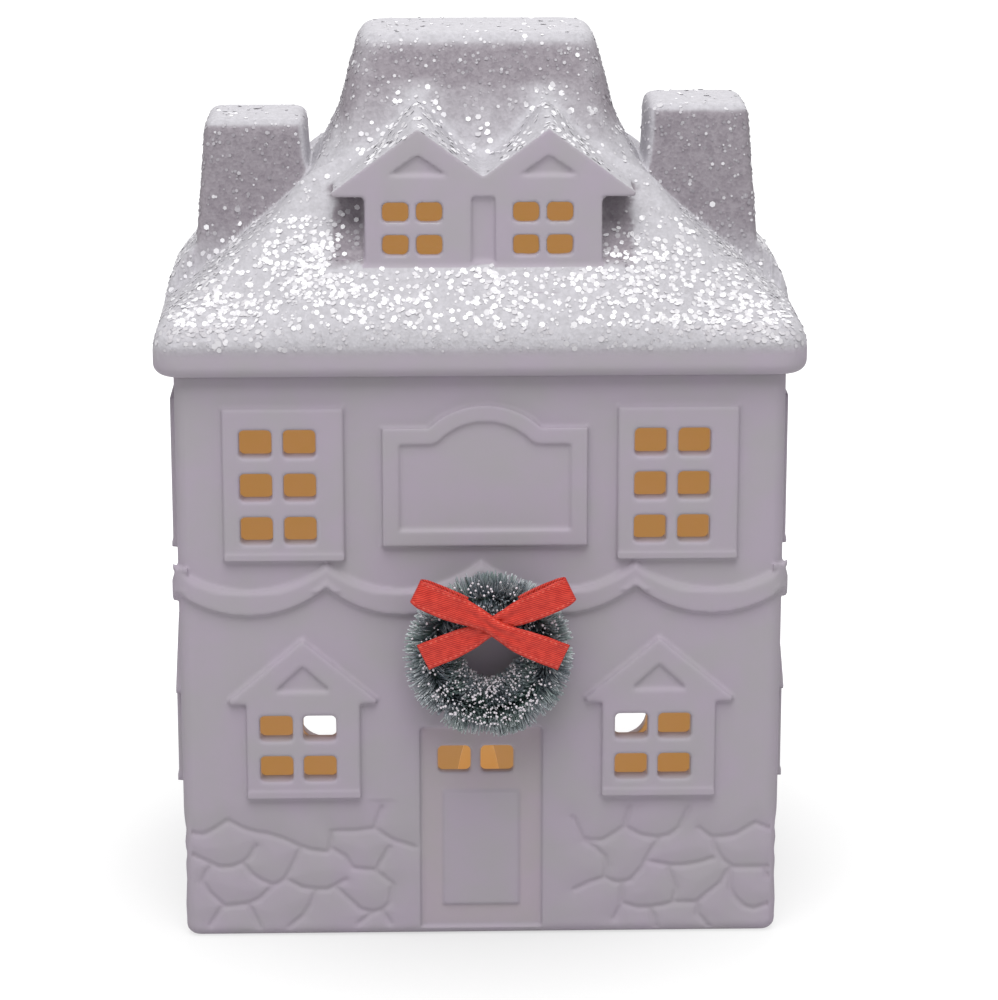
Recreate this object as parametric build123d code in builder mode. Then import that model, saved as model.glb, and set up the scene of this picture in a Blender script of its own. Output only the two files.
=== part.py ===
"""A ceramic village house, lit from inside by a small battery light.

Millimetres, +Z up, the front faces -Y, the origin is on the table under the middle of the walls.
"""

import math
import os

from build123d import *

os.makedirs("parts", exist_ok=True)

# Fits shared by all pieces
overrun = 1.0
seat_gap = 0.05
running_gap = 0.3

# Wall casting
wall_width = 120.0
wall_depth = 86.0
wall_height = 117.0
wall_thickness = 3.5
floor_thickness = 4.0
wall_corner_radius = 3.0
inner_corner_radius = 2.5
foot_radius = 2.5

# Windows, shared by front and sides
plate_raise = 1.3
sill_raise = 1.9
sill_height = 1.1
pane_corner_radius = 0.9
front_window_share = 0.646
front_lower_share = 0.592
side_window_share = 0.506
front_pane_shift = -1.1

# Upper windows
upper_plate_width = 23.8
upper_plate_height = 30.2
upper_centre_share = 0.8154
upper_pane_width = 6.4
upper_pane_height = 5.65
upper_pane_pitch = 8.6
upper_row_pitch = 8.8
upper_pane_drop = 0.8

# Lower windows and their pediments
lower_plate_width = 22.7
lower_plate_height = 19.2
lower_sill_share = 0.2632
lower_pane_width = 6.6
lower_pane_height = 5.4
lower_pane_pitch = 8.65
lower_row_pitch = 8.5
lower_pane_rise = 0.2
pediment_half = 14.7
pediment_rise = 13.2
pediment_end = 0.8
tympanum_half = 5.9
tympanum_rise = 5.4
tympanum_lift = 2.5
tympanum_depth = 0.8

# Door
door_width = 24.6
door_height = 42.9
door_foot = 1.6
door_depth = 1.1
door_pane_width = 6.6
door_pane_height = 5.5
door_pane_pitch = 8.6
door_pane_drop = 7.1
door_panel_width = 15.0
door_panel_height = 24.0
door_panel_lift = 5.0
door_panel_raise = 0.6

# Sign plate over the door, with a plain field
sign_width = 40.3
sign_height = 24.0
sign_foot_share = 0.7047
sign_shift = 0.8
sign_raise = 1.5
sign_arch_width = 22.2
sign_arch_rise = 4.6
sign_border = 3.2
sign_field_depth = 0.7

# Swag band
swag_top_share = 0.675
swag_drop = 5.8
swag_band = 4.8
swag_raise = 1.2
swag_root = 2.0
front_swags = 4
side_swags = 3

# Rear hatch
hatch_width = 78.0
hatch_height = 44.0
hatch_sill = 14.0
hatch_corner_radius = 5.5

# Roof casting
eave_overhang = 4.0
eave_height = 5.0
eave_round = 2.6
roof_rise = 58.0
roof_top_half_x = 23.5
roof_top_half_y = 13.0
roof_top_round = 3.5
roof_shell = 4.5
roof_corner_radius = 6.0
hollow_straight = 9.0
bell_climb_shares = (0, 0.12, 0.2, 0.3, 0.42, 0.55, 0.7, 0.85, 1)
bell_side_shares = (1, 0.96, 0.895, 0.75, 0.545, 0.33, 0.17, 0.07, 0)
bell_front_shares = (1, 0.95, 0.825, 0.645, 0.455, 0.3, 0.165, 0.07, 0)
hollow_shares = (1, 0.815, 0.7, 0.565, 0.418, 0.279, 0.146, 0.048, 0)

# Chimneys
chimney_width = 20.3
chimney_depth = 22.5
chimney_batter = 3.6
chimney_eave_inset = 9.4
chimney_left_rise = 45.3
chimney_right_rise = 48.0
chimney_round = 1.8
chimney_top_share = 0.95
chimney_shell = 4.0

# Double dormer
dormer_setback = 6.0
dormer_spacing = 25.5
dormer_shift = 0.7
dormer_width = 20.8
dormer_rise = 47.3
dormer_slope = 36.5
dormer_overhang = 6.6
dormer_gable_end = 0.9
dormer_roof_shell = 1.4
dormer_run = 30.0
dormer_strip_depth = 1.0
dormer_shell = 2.7
dormer_pane_width = 5.1
dormer_pane_height = 4.0
dormer_pane_pitch = 6.6
dormer_row_pitch = 6.45
dormer_pane_lift = 27.6
dormer_floor_lift = 21.0
gable_recess_half = 6.1
gable_recess_rise = 4.1
gable_recess_lift = 38.0
gable_recess_depth = 0.9

# Wreath
wreath_side_shift = 1.4
wreath_height_share = 0.528
wreath_ring_radius = 11.45
wreath_standoff = 5.0
wire_radius = 0.6
sleeve_radius = 1.1
sleeve_sides = 8
bristle_reach = 5.75
bristle_radius = 0.28
bristle_root_share = 0.8
bristle_rings = 30
bristle_spokes = 13
bristle_rear_angle = 141.0
wall_dab_radius = 3.5
dab_tip_radius = 0.6

# Bow
bow_side_shift = 0.7
bow_lift = 7.3
bow_angle = 25.5
bow_loop_reach = 16.6
bow_tail_reach = 15.2
bow_back_start = 6.6
ribbon_width = 6.0
ribbon_thickness = 0.35
ribbon_loop_radius = 0.9
ribbon_layer_gap = 0.45
bow_dab_radius = 1.6
bow_dab_clear_angle = 13.0
bow_dab_clear_spoke = 60.0

# Battery light: housing and flame
light_shift = 14.0
cup_radius = 19.0
cup_height = 15.0
cup_wall = 1.2
cup_rim_round = 1.0
dish_depth = 2.0
dish_margin = 2.2
collar_radius = 5.3
flame_height = 21.0
flame_waist = 3.9
flame_belly = 5.0
flame_shoulder = 4.4
flame_lean = 2.6
flame_tip_radius = 0.6
flame_belly_share = 0.2
flame_shoulder_share = 0.38
flame_lean_share = 0.74
flange_step = 1.4
flange_thickness = 1.0
boss_radius = 2.2
boss_place = 15.0

# Battery light: lamp
lamp_radius = 2.5
lamp_height = 8.0
lamp_flange_step = 0.35
lamp_flange_height = 1.0
lead_radius = 0.25
lead_pitch = 2.54

# Battery light: cell, carrier and contacts
cell_radius = 10.0
cell_height = 3.2
cell_step = 1.4
cell_cap_height = 0.3
carrier_inner_gap = 0.6
carrier_wall = 1.8
carrier_height = 4.2
carrier_web_width = 6.0
carrier_web = 0.8
ear_thickness = 1.2
contact_thickness = 0.3
contact_width = 3.0
contact_reach = 7.0
contact_split = 0.6
dimple_radius = 1.2
dimple_place = 4.0

# Battery light: base plate, cover, switch and screws
base_recess = 0.6
base_thickness = 1.6
base_pad = 1.0
cover_wall = 0.7
cover_floor = 1.4
cover_inset = 0.1
lug_reach = 1.3
lug_thickness = 0.65
lug_angle = 26.0
lug_notch_turn = 45.0
coin_slot_length = 12.0
coin_slot_width = 1.6
coin_slot_depth = 0.7
switch_place = 14.9
switch_nub = 2.4
switch_travel = 3.0
switch_depth = 2.2
switch_flange_length = 7.0
switch_flange_width = 3.2
switch_flange = 0.75
switch_recess = 0.2
screw_radius = 0.85
screw_length = 6.0
screw_head_radius = 1.7
screw_head_height = 1.1

# Heights and places worked out from the sizes above
half_width = wall_width / 2
half_depth = wall_depth / 2
upper_centre = upper_centre_share * wall_height
lower_sill = lower_sill_share * wall_height
swag_top = swag_top_share * wall_height
sign_foot = sign_foot_share * wall_height
eave_half_x = half_width + eave_overhang
eave_half_y = half_depth + eave_overhang
eave_top = wall_height + eave_height
roof_top = eave_top + roof_rise
front_plane = Plane(origin=(0, -half_depth, 0), x_dir=(1, 0, 0), z_dir=(0, -1, 0))
back_plane = Plane(origin=(0, half_depth, 0), x_dir=(-1, 0, 0), z_dir=(0, 1, 0))
left_plane = Plane(origin=(-half_width, 0, 0), x_dir=(0, -1, 0), z_dir=(-1, 0, 0))
right_plane = Plane(origin=(half_width, 0, 0), x_dir=(0, 1, 0), z_dir=(1, 0, 0))


def save(builder, name):
    """Label a finished piece and write its file."""
    builder.part.label = name
    export_step(builder.part, "parts/" + name + ".step")


def face_from(points):
    """Fill the closed outline through the points, in the sketch being built."""
    with BuildLine() as outline:
        Polyline(*points, close=True)
    make_face(outline.edges())


# Swag band: scalloped slabs on three walls, trimmed to the rounded outline of the walls
def swag_row(plane, length, count):
    """One wall's row of swags, as a slab rooted in the wall."""
    pitch = length / count
    with BuildSketch(plane.offset(-swag_root)) as row:
        for index in range(count):
            start = index * pitch - length / 2
            middle = start + pitch / 2
            end = start + pitch
            low = swag_top - swag_band
            with BuildLine():
                ThreePointArc((start, swag_top), (middle, swag_top - swag_drop), (end, swag_top))
                Line((end, swag_top), (end, low))
                ThreePointArc((end, low), (middle, low - swag_drop), (start, low))
                Line((start, low), (start, swag_top))
            make_face()
    extrude(row.sketch, amount=swag_root + swag_raise)


with BuildPart() as swags:
    swag_row(front_plane, wall_width + 2 * swag_raise, front_swags)
    swag_row(left_plane, wall_depth + 2 * swag_raise, side_swags)
    swag_row(right_plane, wall_depth + 2 * swag_raise, side_swags)
    with BuildSketch():
        outer_radius = wall_corner_radius + swag_raise
        RectangleRounded(wall_width + 2 * swag_raise, wall_depth + 2 * swag_raise, outer_radius)
        with Locations((0, half_depth)):
            Rectangle(wall_width + 2 * outer_radius, 2 * wall_corner_radius, mode=Mode.SUBTRACT)
    extrude(amount=wall_height, mode=Mode.INTERSECT)


# Wall casting: a box open at the top, with its relief and its panes
def window_relief(plane, upper_places, lower_places):
    """Plates and sills of one wall's windows, the lower plates with a gabled head."""
    upper_foot = upper_centre - upper_plate_height / 2
    eaves = lower_sill + lower_plate_height
    plate_half = lower_plate_width / 2
    with BuildSketch(plane) as plates:
        with Locations(*[(place, upper_centre) for place in upper_places]):
            Rectangle(upper_plate_width, upper_plate_height)
        for place in lower_places:
            face_from([
                (place - plate_half, lower_sill),
                (place + plate_half, lower_sill),
                (place + plate_half, eaves),
                (place + pediment_half, eaves),
                (place + pediment_half, eaves + pediment_end),
                (place, eaves + pediment_rise),
                (place - pediment_half, eaves + pediment_end),
                (place - pediment_half, eaves),
                (place - plate_half, eaves),
            ])
    extrude(plates.sketch, amount=plate_raise)
    with BuildSketch(plane) as sills:
        with Locations(*[(place, upper_foot) for place in upper_places]):
            Rectangle(upper_plate_width, sill_height)
        with Locations(*[(place, lower_sill) for place in lower_places]):
            Rectangle(lower_plate_width, sill_height)
    extrude(sills.sketch, amount=sill_raise)
    with BuildSketch(plane.offset(plate_raise)) as recess:
        for place in lower_places:
            base = eaves + tympanum_lift
            face_from([
                (place - tympanum_half, base),
                (place + tympanum_half, base),
                (place, base + tympanum_rise),
            ])
    extrude(recess.sketch, amount=-tympanum_depth, mode=Mode.SUBTRACT)


def window_panes(plane, upper_places, lower_places, shift):
    """Cut one wall's panes right through plate and wall, moved sideways by the shift."""
    upper_middle = upper_centre - upper_pane_drop
    lower_middle = lower_sill + lower_plate_height / 2 + lower_pane_rise
    with BuildSketch(plane.offset(sill_raise + overrun)) as panes:
        with Locations(*[(place + shift, upper_middle) for place in upper_places]):
            with GridLocations(upper_pane_pitch, upper_row_pitch, 2, 3):
                RectangleRounded(upper_pane_width, upper_pane_height, pane_corner_radius)
        with Locations(*[(place + shift, lower_middle) for place in lower_places]):
            with GridLocations(lower_pane_pitch, lower_row_pitch, 2, 2):
                RectangleRounded(lower_pane_width, lower_pane_height, pane_corner_radius)
    extrude(panes.sketch, amount=-(sill_raise + wall_thickness + 2 * overrun), mode=Mode.SUBTRACT)


def sign_outline():
    """The sign plate's outline, a rectangle with an arched crown."""
    head = sign_foot + sign_height
    left = sign_shift - sign_width / 2
    right = sign_shift + sign_width / 2
    arch_left = sign_shift - sign_arch_width / 2
    arch_right = sign_shift + sign_arch_width / 2
    with BuildLine() as outline:
        Polyline((arch_left, head), (left, head), (left, sign_foot))
        Polyline((left, sign_foot), (right, sign_foot), (right, head), (arch_right, head))
        ThreePointArc((arch_right, head), (sign_shift, head + sign_arch_rise), (arch_left, head))
    make_face(outline.edges())


front_upper = [-front_window_share * half_width, front_window_share * half_width]
front_lower = [-front_lower_share * half_width, front_lower_share * half_width]
side_places = [-side_window_share * half_depth, side_window_share * half_depth]

with BuildPart() as wall_casting:
    with BuildSketch():
        RectangleRounded(wall_width, wall_depth, wall_corner_radius)
    extrude(amount=wall_height)
    fillet(wall_casting.faces().sort_by(Axis.Z)[0].edges(), radius=foot_radius)
    with BuildSketch(Plane.XY.offset(floor_thickness)):
        inner_width = wall_width - 2 * wall_thickness
        RectangleRounded(inner_width, wall_depth - 2 * wall_thickness, inner_corner_radius)
    extrude(amount=wall_height, mode=Mode.SUBTRACT)
    add(swags.part)
    window_relief(front_plane, front_upper, front_lower)
    window_relief(left_plane, side_places, side_places)
    window_relief(right_plane, side_places, side_places)
    with BuildSketch(front_plane):
        sign_outline()
    extrude(amount=sign_raise)
    with BuildSketch(front_plane.offset(sign_raise)):
        sign_outline()
        offset(amount=-sign_border, mode=Mode.REPLACE)
    extrude(amount=-sign_field_depth, mode=Mode.SUBTRACT)
    with BuildSketch(front_plane):
        with Locations((0, door_foot + door_height / 2)):
            Rectangle(door_width, door_height)
    extrude(amount=-door_depth, mode=Mode.SUBTRACT)
    with BuildSketch(front_plane.offset(-door_depth)):
        with Locations((0, door_foot + door_panel_lift + door_panel_height / 2)):
            Rectangle(door_panel_width, door_panel_height)
    extrude(amount=door_panel_raise)
    with BuildSketch(front_plane.offset(overrun)):
        with Locations((front_pane_shift, door_foot + door_height - door_pane_drop)):
            with GridLocations(door_pane_pitch, door_pane_height, 2, 1):
                RectangleRounded(door_pane_width, door_pane_height, pane_corner_radius)
    extrude(amount=-(wall_thickness + 2 * overrun), mode=Mode.SUBTRACT)
    window_panes(front_plane, front_upper, front_lower, front_pane_shift)
    window_panes(left_plane, side_places, side_places, 0)
    window_panes(right_plane, side_places, side_places, 0)
    with BuildSketch(back_plane.offset(overrun)):
        with Locations((0, hatch_sill + hatch_height / 2)):
            RectangleRounded(hatch_width, hatch_height, hatch_corner_radius)
    extrude(amount=-(wall_thickness + 2 * overrun), mode=Mode.SUBTRACT)
save(wall_casting, "wall_casting")


# Roof casting: bell roof on a plain eave, with its chimneys and dormers, hollow throughout
def bell(base_x, base_y, top_x, top_y, foot, head, side_shares, front_shares):
    """Loft the bell shape between two heights, in the part being built."""
    layers = []
    for climb_share, side_share, front_share in zip(bell_climb_shares, side_shares, front_shares):
        with BuildSketch(Plane.XY.offset(foot + climb_share * (head - foot))) as layer:
            across = 2 * (top_x + (base_x - top_x) * side_share)
            along = 2 * (top_y + (base_y - top_y) * front_share)
            RectangleRounded(across, along, roof_corner_radius)
        layers.append(layer.sketch)
    loft(layers)


def chimney(side, rise):
    """One chimney stack, its outer face leaning in toward the top."""
    outer = eave_half_x - chimney_eave_inset
    with BuildPart() as stack:
        with BuildSketch(Plane.XY.offset(wall_height + eave_height / 2)):
            with Locations((side * (outer + chimney_batter / 2 - chimney_width / 2), 0)):
                RectangleRounded(chimney_width + chimney_batter, chimney_depth, chimney_round)
        with BuildSketch(Plane.XY.offset(wall_height + rise)):
            with Locations((side * (outer - chimney_width / 2), 0)):
                RectangleRounded(chimney_width, chimney_depth, chimney_round)
        loft()
        fillet(stack.faces().sort_by(Axis.Z)[-1].edges(), radius=chimney_top_share * chimney_round)
    return stack.part


def chimney_flue(side, rise):
    """The hollow of one chimney, open to the roof's own hollow."""
    middle = side * (eave_half_x - chimney_eave_inset - chimney_width / 2)
    head = wall_height + rise - chimney_shell
    with BuildSketch(Plane.XY.offset(eave_top)) as flue:
        with Locations((middle, 0)):
            Rectangle(chimney_width - 2 * chimney_shell, chimney_depth - 2 * chimney_shell)
    extrude(flue.sketch, amount=head - eave_top, mode=Mode.SUBTRACT)


dormer_front = dormer_setback - half_depth
dormer_fall = math.tan(math.radians(dormer_slope))
dormer_peak = wall_height + dormer_rise
dormer_plane = Plane(origin=(0, dormer_front, 0), x_dir=(1, 0, 0), z_dir=(0, -1, 0))
dormer_places = [dormer_shift - dormer_spacing / 2, dormer_shift + dormer_spacing / 2]
strip_foot = wall_height + dormer_floor_lift - dormer_shell
strip_head = dormer_peak - dormer_fall * dormer_spacing / 2 - dormer_roof_shell


def dormer_body(place, inset):
    """The gabled outline of one dormer's front, drawn in by the inset."""
    half = dormer_width / 2 - inset
    head = dormer_peak - dormer_roof_shell - inset
    foot = strip_foot + inset
    shoulder = head - dormer_fall * half
    face_from([
        (place - half, foot),
        (place + half, foot),
        (place + half, shoulder),
        (place, head),
        (place - half, shoulder),
    ])


def dormer_roof(place):
    """The gabled roof of one dormer, flat below, from the valley to the outer overhang."""
    side = math.copysign(1, place - dormer_shift)
    outer = dormer_width / 2 + dormer_overhang
    base = dormer_peak - dormer_fall * outer - dormer_gable_end
    face_from([
        (dormer_shift, base),
        (dormer_shift, dormer_peak - dormer_fall * dormer_spacing / 2),
        (place, dormer_peak),
        (place + side * outer, base + dormer_gable_end),
        (place + side * outer, base),
    ])


left_stack = chimney(-1, chimney_left_rise)
right_stack = chimney(1, chimney_right_rise)

with BuildPart() as bell_shell:
    top_x = roof_top_half_x
    top_y = roof_top_half_y
    bell(eave_half_x, eave_half_y, top_x, top_y, eave_top, roof_top, bell_side_shares, bell_front_shares)
    fillet(bell_shell.faces().sort_by(Axis.Z)[-1].edges(), radius=roof_top_round)

with BuildPart() as eave:
    with BuildSketch(Plane.XY.offset(wall_height)):
        RectangleRounded(2 * eave_half_x, 2 * eave_half_y, roof_corner_radius)
    extrude(amount=eave_height)
    fillet(eave.faces().sort_by(Axis.Z)[0].edges(), radius=eave_round)

with BuildPart() as roof_hollow:
    hollow_x = half_width - wall_thickness
    hollow_y = half_depth - wall_thickness
    top_x = roof_top_half_x - roof_shell / 2
    top_y = roof_top_half_y - roof_shell / 2
    hollow_foot = wall_height + hollow_straight
    bell(hollow_x, hollow_y, top_x, top_y, hollow_foot, roof_top - roof_shell, hollow_shares, hollow_shares)
    with BuildSketch(Plane.XY.offset(wall_height - overrun)):
        RectangleRounded(2 * hollow_x, 2 * hollow_y, roof_corner_radius)
    extrude(amount=hollow_straight + overrun)

with BuildPart() as roof_casting:
    add(eave.part)
    add(bell_shell.part)
    add(left_stack)
    add(right_stack)
    with BuildSketch(dormer_plane.offset(-dormer_strip_depth)):
        with Locations((dormer_shift, (strip_foot + strip_head) / 2)):
            Rectangle(dormer_spacing - dormer_width + dormer_shell, strip_head - strip_foot)
    extrude(amount=-dormer_run)
    with BuildSketch(dormer_plane):
        for place in dormer_places:
            dormer_body(place, 0)
            dormer_roof(place)
    extrude(amount=-dormer_run)
    add(roof_hollow.part, mode=Mode.SUBTRACT)
    chimney_flue(-1, chimney_left_rise)
    chimney_flue(1, chimney_right_rise)
    with BuildSketch(dormer_plane.offset(-dormer_shell)):
        for place in dormer_places:
            dormer_body(place, dormer_shell)
    extrude(amount=-(dormer_run - dormer_shell), mode=Mode.SUBTRACT)
    with BuildSketch(dormer_plane.offset(overrun)):
        pane_row = wall_height + dormer_pane_lift
        with Locations(*[(place + front_pane_shift, pane_row) for place in dormer_places]):
            with GridLocations(dormer_pane_pitch, dormer_row_pitch, 2, 2):
                RectangleRounded(dormer_pane_width, dormer_pane_height, pane_corner_radius)
    extrude(amount=-(dormer_shell + 2 * overrun), mode=Mode.SUBTRACT)
    with BuildSketch(dormer_plane):
        for place in dormer_places:
            base = wall_height + gable_recess_lift
            face_from([
                (place - gable_recess_half, base),
                (place + gable_recess_half, base),
                (place, base + gable_recess_rise),
            ])
    extrude(amount=-gable_recess_depth, mode=Mode.SUBTRACT)
save(roof_casting, "roof_casting")


# Wreath: a wire ring, its bristles on a sleeve round the wire, and the glue that holds it to the wall
wreath_y = -(half_depth + swag_raise + wreath_standoff)
wreath_z = wreath_height_share * wall_height
wreath_plane = Plane(origin=(wreath_side_shift, wreath_y, wreath_z), x_dir=(1, 0, 0), z_dir=(0, 0, 1))
wreath_axis = Axis((wreath_side_shift, wreath_y, wreath_z), (0, 1, 0))


def ring_point(angle):
    """The point of the wire ring at an angle from +X, going up over the top."""
    across = wreath_side_shift + wreath_ring_radius * math.cos(math.radians(angle))
    return Vector(across, wreath_y, wreath_z + wreath_ring_radius * math.sin(math.radians(angle)))


def sleeve_ring(mode=Mode.ADD):
    """The faceted sleeve that the bristles stand on."""
    with BuildSketch(wreath_plane) as section:
        with Locations((wreath_ring_radius, 0)):
            RegularPolygon(sleeve_radius, sleeve_sides)
    revolve(section.sketch.faces(), axis=wreath_axis, mode=mode)


def wire_ring(radius, mode=Mode.ADD):
    """A round ring along the wire."""
    with BuildSketch(wreath_plane) as section:
        with Locations((wreath_ring_radius, 0)):
            Circle(radius)
    revolve(section.sketch.faces(), axis=wreath_axis, mode=mode)


with BuildPart() as wreath_wire:
    wire_ring(wire_radius)
save(wreath_wire, "wreath_wire")


# Places where the two ribbons cross the ring, for the bow's glue
def ribbon_crossing(side):
    """The ring angle at which one upper arm of the bow passes over the wire."""
    lean_x = side * math.cos(math.radians(bow_angle))
    lean_z = math.sin(math.radians(bow_angle))
    half_b = bow_side_shift * lean_x + bow_lift * lean_z
    rest = bow_side_shift**2 + bow_lift**2 - wreath_ring_radius**2
    run = math.sqrt(half_b**2 - rest) - half_b
    return math.degrees(math.atan2(bow_lift + run * lean_z, bow_side_shift + run * lean_x))


bow_dab_angles = [ribbon_crossing(-1), ribbon_crossing(1)]


def bristle_planes():
    """A plane at each bristle's root, facing along the bristle."""
    planes = []
    for ring in range(bristle_rings):
        for spoke in range(bristle_spokes):
            ring_angle = 360 * (ring + (spoke % 2) / 2) / bristle_rings
            spoke_angle = 360 * (spoke - bristle_spokes // 2) / bristle_spokes
            near_dab = min(abs(ring_angle - angle) for angle in bow_dab_angles) < bow_dab_clear_angle
            if abs(spoke_angle) > bristle_rear_angle or (near_dab and abs(spoke_angle) < bow_dab_clear_spoke):
                continue
            out = math.sin(math.radians(spoke_angle))
            lean_x = out * math.cos(math.radians(ring_angle))
            lean_z = out * math.sin(math.radians(ring_angle))
            lean = Vector(lean_x, -math.cos(math.radians(spoke_angle)), lean_z)
            root = ring_point(ring_angle) + lean * (sleeve_radius * bristle_root_share)
            planes.append(Plane(origin=root, z_dir=lean))
    return planes


with BuildPart() as wreath_bristles:
    sleeve_ring()
    with BuildSketch(*bristle_planes()):
        RegularPolygon(bristle_radius, 3)
    extrude(amount=bristle_reach - sleeve_radius * bristle_root_share)
    wire_ring(wire_radius + seat_gap, Mode.SUBTRACT)
save(wreath_bristles, "wreath_bristles")

with BuildPart() as wreath_glue:
    for angle in (0, 180):
        spot = ring_point(angle)
        with BuildSketch(front_plane):
            with Locations((spot.X, spot.Z)):
                Circle(wall_dab_radius)
        with BuildSketch(front_plane.offset(-half_depth - wreath_y)):
            with Locations((spot.X, spot.Z)):
                Circle(dab_tip_radius)
        loft()
    sleeve_ring(Mode.SUBTRACT)
save(wreath_glue, "wreath_glue")


# Bow: two ribbons, each a tail and a loop folded back behind it, and the glue that holds them to the ring
loop_depth = 2 * ribbon_loop_radius
bristle_front = wreath_y - bristle_reach
under_face = bristle_front - running_gap - loop_depth
over_face = under_face - ribbon_thickness - ribbon_layer_gap


def ribbon(side, face):
    """One ribbon of the bow: its upper end loops back, its lower end is a cut tail."""
    lean_x = side * math.cos(math.radians(bow_angle))
    lean_z = math.sin(math.radians(bow_angle))
    middle = (wreath_side_shift + bow_side_shift, face, wreath_z + bow_lift)
    turn = bow_loop_reach - ribbon_loop_radius
    depth = under_face - face + loop_depth
    with BuildSketch(Plane(origin=middle, x_dir=(lean_x, 0, lean_z), z_dir=(lean_z, 0, -lean_x))) as strip:
        with BuildLine():
            Line((-bow_tail_reach, 0), (turn, 0))
            ThreePointArc((turn, 0), (turn + ribbon_loop_radius, -depth / 2), (turn, -depth))
            Line((turn, -depth), (bow_back_start, -depth))
            offset(amount=ribbon_thickness, side=Side.RIGHT)
        make_face()
    extrude(strip.sketch, amount=ribbon_width / 2, both=True)


with BuildPart() as bow_ribbon_under:
    ribbon(1, under_face)
save(bow_ribbon_under, "bow_ribbon_under")

with BuildPart() as bow_ribbon_over:
    ribbon(-1, over_face)
save(bow_ribbon_over, "bow_ribbon_over")

ribbon_rear = under_face + loop_depth
with BuildPart() as bow_glue:
    for angle in bow_dab_angles:
        spot = ring_point(angle)
        with BuildSketch(front_plane.offset(-half_depth - wreath_y)):
            with Locations((spot.X, spot.Z)):
                Circle(dab_tip_radius)
        with BuildSketch(front_plane.offset(-half_depth - ribbon_rear)):
            with Locations((spot.X, spot.Z)):
                Circle(bow_dab_radius)
        loft()
    sleeve_ring(Mode.SUBTRACT)
save(bow_glue, "bow_glue")

# Battery light: every height from here on is measured from the house's floor
light_plane = Plane(origin=(0, -light_shift, floor_thickness), x_dir=(1, 0, 0), z_dir=(0, -1, 0))
light_floor = Plane(origin=(0, -light_shift, floor_thickness), x_dir=(1, 0, 0), z_dir=(0, 0, 1))
light_axis = Axis((0, -light_shift, 0), (0, 0, 1))
screw_places = [(-boss_place, 0), (boss_place, 0)]
base_top = base_recess + base_thickness
ear_foot = base_top + base_pad
boss_foot = ear_foot + ear_thickness
cover_foot = base_recess + cover_inset
cell_foot = cover_foot + cover_floor + seat_gap
cell_top = cell_foot + cell_height
carrier_top = ear_foot + carrier_height
web_foot = carrier_top - carrier_web
cup_inner = cup_radius - cup_wall
dish_floor = cup_height - dish_depth
flange_top = dish_floor - cup_wall
flange_foot = flange_top - flange_thickness
lamp_bore = lamp_radius + lamp_flange_step + seat_gap


def turned(points):
    """Revolve an outline of radius and height about the light's axis, in the part being built."""
    with BuildSketch(light_plane) as section:
        face_from(points)
    revolve(section.sketch.faces(), axis=light_axis)


with BuildPart() as light_cup:
    dish_edge = cup_radius - dish_margin
    turned([
        (cup_inner, 0),
        (cup_radius, 0),
        (cup_radius, cup_height),
        (dish_edge, cup_height),
        (collar_radius, dish_floor),
        (collar_radius, flange_top),
        (cup_inner - dish_margin, flange_top),
        (cup_inner, flange_top - cup_wall),
    ])
    fillet(light_cup.faces().sort_by(Axis.Z)[-1].edges(), radius=cup_rim_round / 2)
    with BuildSketch(light_floor.offset(boss_foot)):
        with Locations(*screw_places):
            Circle(boss_radius)
    extrude(amount=flange_top - boss_foot)
    with BuildSketch(light_floor.offset(boss_foot)):
        with Locations(*screw_places):
            Circle(screw_radius + seat_gap)
    extrude(amount=screw_length, mode=Mode.SUBTRACT)
save(light_cup, "light_cup")

with BuildPart() as flame_lens:
    tip = dish_floor + flame_height
    shoulder_height = dish_floor + flame_shoulder_share * flame_height
    lamp_head = flange_foot + lamp_height + lamp_radius + running_gap
    with BuildSketch(light_plane):
        with BuildLine():
            Polyline(
                (flame_tip_radius, tip),
                (0, tip),
                (0, lamp_head),
                (lamp_bore, lamp_head),
                (lamp_bore, flange_foot),
                (collar_radius + flange_step, flange_foot),
                (collar_radius + flange_step, flange_top),
                (flame_waist, flange_top),
                (flame_waist, dish_floor),
            )
            belly = (flame_belly, dish_floor + flame_belly_share * flame_height)
            ThreePointArc((flame_waist, dish_floor), belly, (flame_shoulder, shoulder_height))
            lean = (flame_lean, dish_floor + flame_lean_share * flame_height)
            ThreePointArc((flame_shoulder, shoulder_height), lean, (flame_tip_radius, tip))
        make_face()
    revolve(axis=light_axis)
save(flame_lens, "flame_lens")

# Lamp inside the flame, its leads, and the carrier that it stands on
with BuildPart() as led_lamp:
    with BuildSketch(light_floor.offset(flange_foot)):
        Circle(lamp_radius + lamp_flange_step)
    extrude(amount=lamp_flange_height)
    with BuildSketch(light_floor.offset(flange_foot)):
        Circle(lamp_radius)
    extrude(amount=lamp_height)
    with Locations(light_floor.offset(flange_foot + lamp_height).origin):
        Sphere(lamp_radius)
save(led_lamp, "led_lamp")

lead_places = [(-lead_pitch / 2, 0), (lead_pitch / 2, 0)]
with BuildPart() as led_leads:
    with BuildSketch(light_floor.offset(web_foot)):
        with Locations(*lead_places):
            Circle(lead_radius)
    extrude(amount=flange_foot - web_foot)
save(led_leads, "led_leads")

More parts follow.
